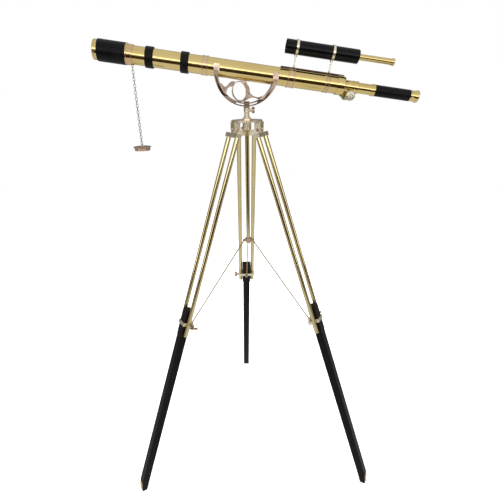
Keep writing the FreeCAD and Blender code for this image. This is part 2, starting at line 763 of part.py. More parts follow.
def bracket_scroll():
    """Flat open scroll inside the half-ring: an oval ring, a wave arm and a side web."""
    thickness = size("scroll_thickness")
    room = size("arc_inner") - size("barrel_radius")
    centre = FreeCAD.Vector(-size("barrel_radius") - room / 2, 0, -0.218 * room)
    shift = FreeCAD.Vector(0, 0, size("ring_shift"))
    minor = size("ring_minor") * room
    major = size("ring_major") * room
    across = minor + size("ring_wall") + size("ring_shift")
    along = major + size("ring_wall")
    ring = ellipse_slab(centre + shift, along, across, size("ring_tilt"), thickness)
    hole = ellipse_slab(centre, major, minor, size("ring_tilt"), 60)
    rim = (size("arc_outer") + size("arc_inner")) / 2
    web = slab([
        smooth([polar(rim, -62), in_room(0.9, -56.5), in_room(0.84, -50), in_room(0.71, -50),
                in_room(0.53, -52), in_room(0.3, -44)]),
        Part.makeLine(in_room(0.3, -44), in_room(0.53, -38)),
        smooth([in_room(0.53, -38), in_room(0.69, -43), in_room(0.82, -43),
                in_room(0.935, -39.5), polar(rim, -37)]),
        Part.Arc(polar(rim, -37), polar(rim, -50), polar(rim, -62)).toShape(),
    ], thickness)
    arm = slab([
        smooth([in_room(0.07, 5), in_room(0.33, 16), in_room(0.58, 20), in_room(0.75, 26.5),
                in_room(0.89, 35), in_room(0.98, 47), polar(rim, 56)]),
        Part.Arc(polar(rim, 56), polar(rim, 46), polar(rim, 37)).toShape(),
        smooth([polar(rim, 37), in_room(0.92, 31.5), in_room(0.84, 27), in_room(0.8, 18),
                in_room(0.85, 8), in_room(0.82, 1)]),
        Part.makeLine(in_room(0.82, 1), in_room(0.07, 5)),
    ], thickness)
    boss = Part.makeCylinder(7.5, thickness + 2,
                             FreeCAD.Vector(-size("barrel_radius") - 8, -thickness / 2 - 1, 0),
                             FreeCAD.Vector(0, 1, 0))
    return ring.fuse([web, arm, boss]).cut(hole)


barrel_space = cylinder("barrel_radius + 0.02", "2 * arc_outer + 10", (0, 0, "-arc_outer - 5"))
tip_holes = [cylinder(2, 80, (0, -40, "%s * (arc_outer - tip_length / 2)" % side), "y")
             for side in (-1, 1)]
boss_hole = cylinder(2, 40, ("-barrel_radius - 8", -20, 0), "y")
node("quadrant_bracket", cut(fuse(bracket_arc(), feature(bracket_scroll())),
                             barrel_space, feature(arc_slot()), boss_hole, *tip_holes), AIM)


def bracket_screws():
    """Two cheek screws at each tip of the fork, and one through the scroll's boss."""
    screws = []
    for side in (-1, 1):
        station = "%s * (arc_outer - tip_length / 2)" % side
        screws.append(fuse(
            cylinder(2, "fork_width / 2 - barrel_radius - 0.5",
                     (0, "barrel_radius + 0.5", station), "y"),
            cylinder(4.2, 2.4, (0, "fork_width / 2", station), "y")))
        screws.append(fuse(
            cylinder(2, "fork_width / 2 - barrel_radius - 0.5", (0, "-fork_width / 2", station), "y"),
            cylinder(4.2, 2.4, (0, "-fork_width / 2 - 2.4", station), "y")))
    face = "scroll_thickness / 2 + 1"
    screws.append(fuse(
        cylinder(2, "scroll_thickness + 2", ("-barrel_radius - 8", "-(%s)" % face, 0), "y"),
        cylinder(4.5, 2.4, ("-barrel_radius - 8", face, 0), "y"),
        cylinder(4.5, 2.4, ("-barrel_radius - 8", "-(%s) - 2.4" % face, 0), "y")))
    return group(*screws)


node("bracket_screws", bracket_screws(), AIM)

# Barrel and the parts fixed along it

RAIL_LOW = "barrel_radius + 0.3"
RAIL_HIGH = RAIL_LOW + " + rail_thickness"


def rail_notch(start, end):
    return block((RAIL_LOW + " - 0.1", "barrel_radius + 20"),
                 ("-rail_width / 2 - 0.1", "rail_width / 2 + 0.1"), (start, end))


def barrel_ring(middle, width, rise="ring_rise"):
    """A turned ring with a raised bead at each end."""
    start = "%s - %s / 2" % (middle, width)
    end = "%s + %s / 2" % (middle, width)
    low = "barrel_radius + %s - 0.9" % rise
    high = "barrel_radius + " + rise
    return turned([(start, start + " + 3.5", high, high),
                   (start + " + 3.5", end + " - 3.5", low, low),
                   (end + " - 3.5", end, high, high)],
                  [(start + " - 1", end + " + 1", "barrel_radius", "barrel_radius")])


node("main_barrel", turned([("barrel_front", "barrel_back", "barrel_radius", "barrel_radius")],
                           [("barrel_front - 1", "barrel_back + 1", "barrel_radius - barrel_wall",
                             "barrel_radius - barrel_wall")]), AIM)
node("dew_cap", turned(
    [("dew_front", "dew_front + 3", "dew_radius - 0.6", "dew_radius + 0.4"),
     ("dew_front + 3", "dew_front + 6", "dew_radius + 0.4", "dew_radius + 0.4"),
     ("dew_front + 6", "dew_back", "dew_radius", "dew_radius")],
    [("dew_front - 1", "dew_back + 1", "dew_radius - dew_wall", "dew_radius - dew_wall")]), AIM)
node("dew_cap_leather", turned(
    [("dew_front + rim_width", "dew_back", "dew_radius + dew_leather", "dew_radius + dew_leather")],
    [("dew_front", "dew_back + 1", "dew_radius", "dew_radius")]), AIM)

NECK = "dew_radius - dew_wall"
LENS_RADIUS = "dew_radius - dew_wall - 2.2"
cell = turned(
    [("dew_back - 16", "dew_back", NECK, NECK),
     ("dew_back", "dew_back + 4", "dew_radius + dew_leather - 0.6", "dew_radius + dew_leather - 0.6"),
     ("dew_back + 4", "cell_back - 4", "dew_radius + dew_leather - 0.9", "barrel_radius + 1.6"),
     ("cell_back - 4", "cell_back", "barrel_radius + 1.6", "barrel_radius + 1.6")],
    [("dew_back - 17", "barrel_front", LENS_RADIUS, LENS_RADIUS),
     ("barrel_front", "cell_back + 1", "barrel_radius", "barrel_radius")])
lug_drop = "barrel_radius + 1.6 + lug_eye"
chain_lug = torus("lug_eye", "chain_wire", ("-(%s)" % lug_drop, 0, "lug_at"), "y")
node("objective_cell", fuse(cell, chain_lug), AIM)


def lens(front, thickness, radius):
    """A double-convex lens: a disc trimmed by two large spheres."""
    bulge = thickness * 0.33
    curve = (radius ** 2 + bulge ** 2) / (2 * bulge)
    edge = thickness - 2 * bulge
    disc = Part.makeCylinder(radius, thickness, FreeCAD.Vector(0, 0, front))
    near = Part.makeSphere(curve, FreeCAD.Vector(0, 0, front + curve))
    far = Part.makeSphere(curve, FreeCAD.Vector(0, 0, front + thickness - curve))
    assert edge > 0
    return disc.common(near).common(far)


node("objective_lens", feature(lens(size("dew_back") - 12, size("lens_thickness"),
                                    size("dew_radius") - size("dew_wall") - 2.2)), AIM)


def leather_band(middle):
    start = middle + " - band_width / 2"
    end = middle + " + band_width / 2"
    outside = "barrel_radius + band_thickness"
    return turned([(start, start + " + 1", outside + " - 0.8", outside),
                   (start + " + 1", end + " - 1", outside, outside),
                   (end + " - 1", end, outside, outside + " - 0.8")],
                  [(start + " - 1", end + " + 1", "barrel_radius", "barrel_radius")])


node("leather_bands", group(leather_band("front_band_at"), leather_band("rear_band_at")), AIM)
node("front_barrel_ring", barrel_ring("front_ring_at", "front_ring_width"), AIM)
node("middle_barrel_ring", cut(barrel_ring("middle_ring_at", "middle_ring_width"),
                               rail_notch("middle_ring_at - 30", "middle_ring_at + 30")), AIM)
node("rear_barrel_ring", cut(barrel_ring("rear_ring_at", "rear_ring_width", "ring_rise * 0.7"),
                             rail_notch("rear_ring_at - 30", "rear_ring_at + 30")), AIM)

# Tail piece: end ring, end wall round the focusing sleeve, and the pinion's bearing block

SLEEVE_HOLE = "sleeve_radius + run_gap"
PITCH_DROP = "sleeve_radius + rack_base + gear_module"
pitch_radius = size("gear_module") * size("pinion_teeth") / 2
pitch_drop = size("sleeve_radius") + size("rack_base") + size("gear_module")
pinion_drop = pitch_drop + pitch_radius
TAIL_BACK = "barrel_back + 2"
tail_ring = turned(
    [("end_ring_back - end_ring_width", "end_ring_back", "barrel_radius + ring_rise",
      "barrel_radius + ring_rise"),
     ("end_ring_back", "barrel_back", "barrel_radius + 0.8", "barrel_radius + 0.8"),
     ("barrel_back", TAIL_BACK, "barrel_radius + 0.8", "barrel_radius - 1")],
    [("end_ring_back - end_ring_width - 1", "barrel_back", "barrel_radius", "barrel_radius"),
     ("barrel_back - 1", TAIL_BACK + " + 1", SLEEVE_HOLE, SLEEVE_HOLE)])
rack_way = block((-(pitch_drop + size("gear_module") + 0.3), 0),
                 ("-rack_width / 2 - side_gap", "rack_width / 2 + side_gap"),
                 ("barrel_back - 5", "barrel_back + 60"))
housing_low = -(pinion_drop + size("pinion_shaft") + 3)
HOUSING_OUT = "rack_width / 2 + side_gap + housing_wall"
SLEEVE_CLEAR = "sleeve_radius + 0.8 + side_gap"
housing = block((housing_low, "-(%s)" % SLEEVE_CLEAR), ("-(%s)" % HOUSING_OUT, HOUSING_OUT),
                ("barrel_back - 3", "pinion_at + 6"))
gear_room = block((-(pinion_drop + pitch_radius + size("gear_module") + 0.4), 0),
                  ("-rack_width / 2 - side_gap", "rack_width / 2 + side_gap"),
                  ("pinion_at - 7.2", "pinion_at + 7.2"))
pinion_bore = cylinder("pinion_shaft + run_gap", 60, (-pinion_drop, -30, "pinion_at"), "y")
tail_body = cut(fuse(tail_ring, cut(housing, cylinder("barrel_radius", "barrel_back + 1", (0, 0, -1)))),
                rack_way, gear_room, pinion_bore, rail_notch("barrel_back - 30", "barrel_back + 10"))
node("tail_piece", tail_body, AIM)

# Focusing sleeve with its rack

node("focus_sleeve", turned(
    [("sleeve_front", "sleeve_back", "sleeve_radius", "sleeve_radius"),
     ("sleeve_back - sleeve_ring", "sleeve_back - 1.5", "sleeve_radius + 0.8", "sleeve_radius + 0.8"),
     ("sleeve_back - 1.5", "sleeve_back", "sleeve_radius + 0.8", "sleeve_radius - 0.6")],
    [("sleeve_front - 1", "sleeve_back + 1", "sleeve_radius - sleeve_wall",
      "sleeve_radius - sleeve_wall")]), AIM)


def focus_rack():
    """Straight rack under the sleeve; a gap stands over the pinion at rest."""
    module = size("gear_module")
    pitch = math.pi * module
    base = -size("sleeve_radius") + 0.0
    root = base - size("rack_base") + 0.25 * module
    tip = -pitch_drop - module
    flank = math.tan(math.radians(20))
    half_tooth = pitch / 4 - size("gear_backlash") / 4
    front = size("sleeve_front") + 5
    back = size("sleeve_back") - size("sleeve_ring")
    count = int((back - size("pinion_at")) / pitch)
    low = int((size("pinion_at") - front) / pitch)
    outline = [FreeCAD.Vector(base, 0, front), FreeCAD.Vector(root, 0, front)]
    for index in range(-low, count):
        middle = size("pinion_at") + (index + 0.5) * pitch
        root_half = half_tooth + (root + pitch_drop) * flank
        tip_half = half_tooth - module * flank
        outline += [FreeCAD.Vector(root, 0, middle - root_half),
                    FreeCAD.Vector(tip, 0, middle - tip_half),
                    FreeCAD.Vector(tip, 0, middle + tip_half),
                    FreeCAD.Vector(root, 0, middle + root_half)]
    outline += [FreeCAD.Vector(root, 0, back), FreeCAD.Vector(base, 0, back)]
    face = Part.Face(Part.makePolygon(outline + outline[:1]))
    width = size("rack_width")
    face.translate(FreeCAD.Vector(0, -width / 2, 0))
    bar = face.extrude(FreeCAD.Vector(0, width, 0))
    filler = Part.makeBox(3, width, back - front, FreeCAD.Vector(base, -width / 2, front))
    sleeve = Part.makeCylinder(size("sleeve_radius"), back - front + 2,
                               FreeCAD.Vector(0, 0, front - 1))
    return bar.fuse(filler).cut(sleeve)


node("focus_rack", feature(focus_rack()), AIM)


def pinion():
    """Involute pinion on its cross shaft, one tooth pointing up into the rack at rest."""
    module = size("gear_module")
    teeth = int(size("pinion_teeth"))
    base_radius = pitch_radius * math.cos(math.radians(20))
    tip_radius = pitch_radius + module
    root_radius = pitch_radius - 1.25 * module
    involute_20 = math.tan(math.radians(20)) - math.radians(20)
    half_angle = math.pi / (2 * teeth) - size("gear_backlash") / (4 * pitch_radius)

    def flank_angle(radius):
        if radius <= base_radius:
            return half_angle + involute_20
        roll = math.acos(base_radius / radius)
        return half_angle + involute_20 - (math.tan(roll) - roll)

    radii = [root_radius, base_radius]
    radii += [base_radius + (tip_radius - base_radius) * step / 4 for step in range(1, 5)]
    outline = []
    for tooth in range(teeth):
        middle = 2 * math.pi * tooth / teeth
        profile = [(radius, middle - flank_angle(radius)) for radius in radii]
        profile += [(radius, middle + flank_angle(radius)) for radius in reversed(radii)]
        outline += [FreeCAD.Vector(radius * math.cos(turn) - pinion_drop, 0,
                                   radius * math.sin(turn) + size("pinion_at"))
                    for radius, turn in profile]
    face = Part.Face(Part.makePolygon(outline + outline[:1]))
    width = size("rack_width") - 0.4
    face.translate(FreeCAD.Vector(0, -width / 2, 0))
    wheel = face.extrude(FreeCAD.Vector(0, width, 0))
    reach = size("knob_offset") + size("knob_width") - 3
    shaft = Part.makeCylinder(size("pinion_shaft"), 2 * reach,
                              FreeCAD.Vector(-pinion_drop, -reach, size("pinion_at")),
                              FreeCAD.Vector(0, 1, 0))
    return wheel.fuse(shaft)


node("focus_pinion", feature(pinion()), AIM)


def focus_knob(side):
    """Domed thumb knob with a waist and a hub, bored for the shaft; side is +1 or -1."""
    turn = FreeCAD.Rotation(FreeCAD.Vector(1, 0, 0), -90 * side)
    start = "knob_offset"
    knob = turned(
        [("knob_offset - 6", start, 5, 5),
         (start, start + " + 2", "knob_radius - 2", "knob_radius"),
         (start + " + 2", start + " + knob_width - 3", "knob_radius", "knob_radius"),
         (start + " + knob_width - 3", start + " + knob_width", "knob_radius", "knob_radius - 4")],
        [("knob_offset - 7", start + " + knob_width - 3", "pinion_shaft", "pinion_shaft")])
    place = FreeCAD.Placement(FreeCAD.Vector(-pinion_drop, 0, size("pinion_at")), turn)
    return moved(knob, place)


node("focus_knobs", group(focus_knob(1), focus_knob(-1)), AIM)

# Eyepiece tube that pulls in and out of the sleeve

EYE_TUBE = "sleeve_radius - sleeve_wall - run_gap"
GRIP_TUBE = "sleeve_radius - sleeve_wall - 0.3"
node("eyepiece_tube", turned(
    [("eye_tube_front", "eye_ring_at", EYE_TUBE, EYE_TUBE),
     ("eye_ring_at", "eye_ring_at + 4", EYE_TUBE, "sleeve_radius - 0.2"),
     ("eye_ring_at + 4", "eye_ring_at + eye_ring_width", "sleeve_radius - 0.2", "sleeve_radius - 0.2"),
     ("eye_ring_at + eye_ring_width", "grip_end + 8", GRIP_TUBE, GRIP_TUBE)],
    [("eye_tube_front - 1", "grip_end + 9", "sleeve_radius - sleeve_wall - 2",
      "sleeve_radius - sleeve_wall - 2")]), AIM)
GRIP_OUT = GRIP_TUBE + " + grip_leather"
node("eyepiece_leather", turned(
    [("eye_ring_at + eye_ring_width", "grip_end", GRIP_OUT, GRIP_OUT)],
    [("eye_ring_at", "grip_end + 1", GRIP_TUBE, GRIP_TUBE)]), AIM)
node("eye_cup", turned(
    [("grip_end", "grip_end + 4", GRIP_OUT, GRIP_OUT),
     ("grip_end + 4", "grip_end + 10", GRIP_OUT, GRIP_OUT + " - 0.6"),
     ("grip_end + 10", "eye_cup_end - 6", GRIP_OUT + " - 0.6", "eye_cup_radius"),
     ("eye_cup_end - 6", "eye_cup_end", "eye_cup_radius", "eye_cup_radius - 1")],
    [("grip_end - 1", "grip_end + 8", GRIP_TUBE, GRIP_TUBE),
     ("grip_end + 8", "eye_cup_end - 5", 9, 9),
     ("eye_cup_end - 5", "eye_cup_end + 1", 9, 14)]), AIM)
node("eyepiece_lens", feature(lens(size("grip_end") + 2, 5,
                                   size("sleeve_radius") - size("sleeve_wall") - 2)), AIM)

# Rail and finder telescope above the barrel

node("finder_rail", group(block((RAIL_LOW, RAIL_HIGH), ("-rail_width / 2", "rail_width / 2"),
                                ("rail_front", "rail_back"))), AIM)


def finder_mount(station):
    """Ring round the finder on a thin stem that stands on the rail."""
    outer = cylinder("finder_radius + finder_ring", "finder_ring_width",
                     ("finder_rise", 0, station + " - finder_ring_width / 2"))
    inner = cylinder("finder_radius", "finder_ring_width + 2",
                     ("finder_rise", 0, station + " - finder_ring_width / 2 - 1"))
    stem = cylinder("finder_post", "finder_rise - finder_radius - 1 - (%s)" % RAIL_HIGH,
                    (RAIL_HIGH, 0, station), "x")
    foot = cone(4.5, 2.6, 4, (RAIL_HIGH, 0, station), "x")
    boss = cylinder(4, "finder_ring + 2.5",
                    ("finder_rise - finder_radius - finder_ring - 3", 0, station), "x")
    return cut(fuse(outer, stem, foot, boss), inner)


node("finder_front_mount", finder_mount("finder_front_ring_at"), AIM)
node("finder_rear_mount", finder_mount("finder_rear_ring_at"), AIM)

FINDER_BORE = "finder_radius - finder_wall"
FINDER = AIM.multiply(FreeCAD.Placement(FreeCAD.Vector(size("finder_rise"), 0, 0),
                                        FreeCAD.Rotation()))
node("finder_body", turned(
    [("finder_front", "finder_front + 1", "finder_radius - 0.8", "finder_radius"),
     ("finder_front + 1", "finder_back - 1", "finder_radius", "finder_radius"),
     ("finder_back - 1", "finder_back", "finder_radius", "finder_radius - 0.8")],
    [("finder_front - 1", "finder_back - 6", FINDER_BORE, FINDER_BORE),
     ("finder_back - 7", "finder_back + 1", "finder_draw_radius + run_gap",
      "finder_draw_radius + run_gap")]), FINDER)
node("finder_objective", feature(lens(size("finder_front") + 6, 4,
                                      size("finder_radius") - size("finder_wall"))), FINDER)
DRAW_IN = "finder_draw_radius - finder_draw_wall"
node("finder_drawtube", turned(
    [("finder_draw_front", "finder_draw_back", "finder_draw_radius", "finder_draw_radius"),
     ("finder_draw_back - 16", "finder_draw_back - 4", "finder_draw_radius", "finder_draw_radius + 1.8"),
     ("finder_draw_back - 4", "finder_draw_back", "finder_draw_radius + 1.8",
      "finder_draw_radius + 1.8")],
    [("finder_draw_front - 1", "finder_draw_back - 8", DRAW_IN, DRAW_IN),
     ("finder_draw_back - 9", "finder_draw_back + 1", 4.5, 4.5)]), FINDER)
node("finder_eye_lens", feature(lens(size("finder_draw_back") - 20, 4,
                                     size("finder_draw_radius") - size("finder_draw_wall"))), FINDER)

# Lens cap hanging on its chain from the objective cell ------------------------------------------

lug_depth = size("barrel_radius") + 1.6 + size("lug_eye")
lug_centre = AIM.multVec(FreeCAD.Vector(-lug_depth, 0, size("lug_at")))
pitch = size("link_inside") - size("chain_slack")
wire = size("chain_wire")
first_drop = size("lug_eye") - wire + size("link_inside") / 2 - size("chain_slack")


def chain_link(number):
    """One oval link, hung from the lug; every second link is turned a quarter turn."""
    straight = (size("link_inside") - size("link_width")) / 2
    bend = size("link_width") / 2 + wire
    top = FreeCAD.Vector(0, 0, straight)
    side = FreeCAD.Vector(bend, 0, 0)
    rise = FreeCAD.Vector(0, 0, bend)
    path = Part.Wire([
        Part.makeLine(side - top, side + top),
        Part.Arc(side + top, top + rise, top - side).toShape(),
        Part.makeLine(top - side, FreeCAD.Vector(0, 0, 0) - side - top),
        Part.Arc(FreeCAD.Vector(0, 0, 0) - side - top, FreeCAD.Vector(0, 0, 0) - top - rise,
                 side - top).toShape(),
    ])
    ring = Part.Wire(Part.makeCircle(wire, side - top, FreeCAD.Vector(0, 0, 1)))
    link = path.makePipeShell([ring], True, True)
    quarter = FreeCAD.Rotation(FreeCAD.Vector(0, 0, 1), 90 * ((number + 1) % 2))
    drop = FreeCAD.Vector(0, 0, -first_drop - pitch * number)
    link.Placement = FreeCAD.Placement(lug_centre + drop, quarter)
    return link


links = int(size("chain_links"))
half_way = links // 2
node("chain_upper", feature(Part.makeCompound([chain_link(n) for n in range(half_way)])))
node("chain_lower", feature(Part.makeCompound([chain_link(n) for n in range(half_way, links)])))

cap_eye_drop = first_drop + pitch * (links - 1) + size("link_inside") / 2 - size("chain_slack")
cap_eye = lug_centre - FreeCAD.Vector(0, 0, cap_eye_drop - wire + size("lug_eye"))
cap_top = "-lug_eye - chain_wire - 1.5"
cap_shape = turned(
    [(cap_top + " - cap_flange", cap_top + " - 0.8", "cap_radius", "cap_radius"),
     (cap_top + " - 0.8", cap_top, "cap_radius", "cap_radius - 0.8"),
     (cap_top, cap_top + " + 2", 4.5, 3),
     (cap_top + " - cap_flange - cap_plug", cap_top + " - cap_flange", "dew_radius - dew_wall - 0.4",
      "dew_radius - dew_wall - 0.3")],
    [(cap_top + " - cap_flange - cap_plug - 1", cap_top + " - cap_flange", "dew_radius - dew_wall - 2",
      "dew_radius - dew_wall - 2")])
cap_ring = torus("lug_eye", "chain_wire", (0, 0, 0), "y" if links % 2 else "x")
node("lens_cap", fuse(cap_shape, cap_ring), FreeCAD.Placement(cap_eye, FreeCAD.Rotation()))

# Centre the object over the origin, check it, then write one STEP file for each node -----------

doc.recompute()
box = FreeCAD.BoundBox()
for item in NODES:
    box.add(item.Shape.BoundBox)
middle = FreeCAD.Placement(FreeCAD.Vector(-round(box.Center.x, 1), -round(box.Center.y, 1), 0),
                           FreeCAD.Rotation())
for item in NODES:
    item.Placement = middle.multiply(item.Placement)
doc.recompute()
for item in doc.Objects:
    broken = {"Invalid", "Error"} & set(item.State)
    if broken:
        raise RuntimeError("%s: %s" % (item.Label, ", ".join(sorted(broken))))
os.makedirs("parts", exist_ok=True)
for item in NODES:
    shape = item.Shape
    if shape.isNull() or not shape.isValid() or not shape.Solids:
        raise RuntimeError("%s has no valid solid" % item.Label)
    shape.exportStep("parts/%s.step" % item.Label)
print("%d nodes written, column at X %.1f, Y %.1f" % (len(NODES), middle.Base.x, middle.Base.y))
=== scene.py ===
import bpy
import bmesh
import json
import math
from mathutils import Matrix, Vector


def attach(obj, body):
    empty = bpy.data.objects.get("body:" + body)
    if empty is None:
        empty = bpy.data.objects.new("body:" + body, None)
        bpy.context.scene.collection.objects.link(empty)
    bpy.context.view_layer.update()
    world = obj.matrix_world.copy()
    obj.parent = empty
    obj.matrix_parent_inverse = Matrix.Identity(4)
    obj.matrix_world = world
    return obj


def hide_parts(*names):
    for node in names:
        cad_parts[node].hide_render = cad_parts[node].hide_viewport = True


# Brass telescope on a tripod. The CAD nodes give every place and size. The turned pieces are
# lathed again here with rounded edges, the castings are copied and softened, and the chain, the
# rack and the pinion stay as the CAD made them. Everything gets its finish.

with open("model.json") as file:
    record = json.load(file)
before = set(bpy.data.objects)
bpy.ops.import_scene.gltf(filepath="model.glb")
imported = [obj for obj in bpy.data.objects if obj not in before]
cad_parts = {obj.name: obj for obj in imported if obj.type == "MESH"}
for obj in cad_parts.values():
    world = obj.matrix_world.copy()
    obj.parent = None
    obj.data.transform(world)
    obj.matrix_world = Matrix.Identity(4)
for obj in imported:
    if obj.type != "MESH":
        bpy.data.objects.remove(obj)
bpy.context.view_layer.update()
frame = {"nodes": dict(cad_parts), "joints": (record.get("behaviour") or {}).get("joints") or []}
nodes = frame["nodes"]
joints = {joint["name"]: joint for joint in frame["joints"]}
LEGS = ("rear", "left", "right")
MM = 0.001
SEAT = 0.02 * MM  # what a lathed piece stands off the surface that it sits on
LINK_RADIUS = 3.2 * MM  # the rings that the chain hangs from and that the cap hangs by
LINK_WIRE = 0.85 * MM
TINY = 1e-7


def direction(name):
    return Vector(joints[name]["axis"]).normalized()


def place(name):
    return Vector(joints[name]["pos_m"])


def basis(x_axis, y_axis, z_axis, origin):
    matrix = Matrix.Identity(4)
    for column, axis in enumerate((x_axis, y_axis, z_axis)):
        for row in range(3):
            matrix[row][column] = axis[row]
    matrix.translation = origin
    return matrix


# Frames: the column, the telescope (z to the eyepiece, x up) and each leg (z up along the leg)

home = place("azimuth").copy()
home.z = 0
COLUMN = Matrix.Translation(home)
optical = direction("focus_slide")
front = Vector((0, -1, 0))
AIM = basis(front.cross(optical), front, optical, place("altitude"))
LEG = {}
for leg in LEGS:
    along = -direction("leg_slide_" + leg)
    across = direction("leg_hinge_" + leg)
    LEG[leg] = basis(across.cross(along), across, along, place("leg_hinge_" + leg))


def extent(node, matrix):
    """(lowest corner, highest corner) of a CAD node in another frame."""
    back = matrix.inverted()
    points = [back @ vertex.co for vertex in nodes[node].data.vertices]
    low = Vector([min(point[axis] for point in points) for axis in range(3)])
    high = Vector([max(point[axis] for point in points) for axis in range(3)])
    return low, high


# Camera ---------------------------------------------------------------------------------------

# Fitted to points measured in the photograph, which is PHOTO pixels wide and high
PHOTO = 500
FOCAL = 386.68
CENTRE = (238.93, 273.12)
SENSOR = 36
pitch = math.radians(25.543)
yaw = math.radians(0.66)
roll = math.radians(-1.408)
look = Vector((math.sin(yaw) * math.cos(pitch), math.cos(yaw) * math.cos(pitch),
               -math.sin(pitch)))
level = Vector((math.cos(yaw), -math.sin(yaw), 0))
rise = level.cross(look)
right = level * math.cos(roll) + rise * math.sin(roll)
up = rise * math.cos(roll) - level * math.sin(roll)
camera_data = bpy.data.cameras.new("Camera")
camera = bpy.data.objects.new("Camera", camera_data)
bpy.context.scene.collection.objects.link(camera)
camera.matrix_world = basis(right, up, -look, home + Vector((-0.0527, -1.3277, 1.4766)))
camera_data.sensor_width = SENSOR
camera_data.lens = FOCAL * SENSOR / PHOTO
camera_data.shift_x = (PHOTO / 2 - CENTRE[0]) / PHOTO
camera_data.shift_y = (CENTRE[1] - PHOTO / 2) / PHOTO
camera_data.clip_start = 0.02
bpy.context.scene.camera = camera

# Materials -------------------------------------------------------------------------------------


EDGES = (0.53, 0.62)  # the pointiness at which wear begins and is complete
WORN = 0.6  # how much of the worn colour shows there


class Finish:
    """A node material with the few node kinds that the finishes below share."""

    def __init__(self, name):
        self.material = bpy.data.materials.new(name)
        self.material.use_nodes = True
        self.tree = self.material.node_tree
        self.shader = self.tree.nodes["Principled BSDF"]
        self.coordinates = self.add("ShaderNodeTexCoord")

    def add(self, kind, **values):
        node = self.tree.nodes.new(kind)
        for key, value in values.items():
            setattr(node, key, value)
        return node

    def link(self, source, target):
        self.tree.links.new(source, target)

    def set(self, **values):
        for name, value in values.items():
            self.shader.inputs[name.replace("_", " ")].default_value = value

    def mapped(self, scale):
        mapping = self.add("ShaderNodeMapping")
        mapping.inputs["Scale"].default_value = scale
        self.link(self.coordinates.outputs["Object"], mapping.inputs["Vector"])
        return mapping.outputs["Vector"]

    def noise(self, scale, detail=3, stretch=(1, 1, 1), rough=0.5):
        node = self.add("ShaderNodeTexNoise")
        node.inputs["Scale"].default_value = scale
        node.inputs["Detail"].default_value = detail
        node.inputs["Roughness"].default_value = rough
        self.link(self.mapped(stretch), node.inputs["Vector"])
        return node.outputs["Fac"]

    def cells(self, scale):
        """Distance to the nearest border between cells."""
        node = self.add("ShaderNodeTexVoronoi", feature="DISTANCE_TO_EDGE")
        node.inputs["Scale"].default_value = scale
        self.link(self.mapped((1, 1, 1)), node.inputs["Vector"])
        return node.outputs["Distance"]

    def ramp(self, source, stops):
        """Colours along a value; each stop is (position, colour)."""
        node = self.add("ShaderNodeValToRGB")
        elements = node.color_ramp.elements
        while len(elements) < len(stops):
            elements.new(0.5)
        for element, (position, colour) in zip(elements, stops):
            element.position = position
            element.color = (*colour, 1)
        self.link(source, node.inputs["Fac"])
        return node.outputs["Color"]

    def spread(self, source, low, high, start=0.0, end=1.0):
        """Map start..end of the source to low..high."""
        node = self.add("ShaderNodeMapRange")
        for name, value in (("From Min", start), ("From Max", end),
                            ("To Min", low), ("To Max", high)):
            node.inputs[name].default_value = value
        self.link(source, node.inputs["Value"])
        return node.outputs["Result"]

    def colour(self, source, worn=None):
        """The base colour, rubbed to the worn colour where edges stand out."""
        if worn is not None:
            geometry = self.add("ShaderNodeNewGeometry")
            edges = self.spread(geometry.outputs["Pointiness"], 0, WORN, *EDGES)
            patchy = self.add("ShaderNodeMath", operation="MULTIPLY")
            self.link(edges, patchy.inputs[0])
            self.link(self.spread(self.noise(90, 4), 0.25, 1.0, 0.35, 0.6), patchy.inputs[1])
            mix = self.add("ShaderNodeMix", data_type="RGBA")
            self.link(patchy.outputs["Value"], mix.inputs["Factor"])
            self.link(source, mix.inputs["A"])
            mix.inputs["B"].default_value = (*worn, 1)
            source = mix.outputs["Result"]
        self.link(source, self.shader.inputs["Base Color"])

    def roughness(self, source):
        self.link(source, self.shader.inputs["Roughness"])

    def bumps(self, *layers):
        """Each layer is (height, strength, distance in metres)."""
        normal = None
        for height, strength, distance in layers:
            node = self.add("ShaderNodeBump")
            node.inputs["Strength"].default_value = strength
            node.inputs["Distance"].default_value = distance
            self.link(height, node.inputs["Height"])
            if normal is not None:
                self.link(normal, node.inputs["Normal"])
            normal = node.outputs["Normal"]
        self.link(normal, self.shader.inputs["Normal"])


def brass(name, bright, deep, low, high, brushed=(1, 1, 1), bump=0.05, uneven=0.03):
    """Lacquered brass: tone drifts with handling, fine polish marks, smudges in the gloss."""
    finish = Finish(name)
    finish.set(Metallic=1.0)
    drift = finish.noise(7, 4)
    rubbed = [min(1, value * 1.12 + 0.03) for value in bright]
    finish.colour(finish.ramp(drift, [(0.3, deep), (0.62, bright)]), rubbed)
    smudge = finish.noise(38, 5, rough=0.62)
    finish.roughness(finish.spread(smudge, low, high, 0.32, 0.7))
    marks = finish.noise(260, 3, stretch=brushed)
    waves = finish.noise(26, 1)
    finish.bumps((marks, bump, 0.0002), (waves, uneven, 0.002))
    return finish.material


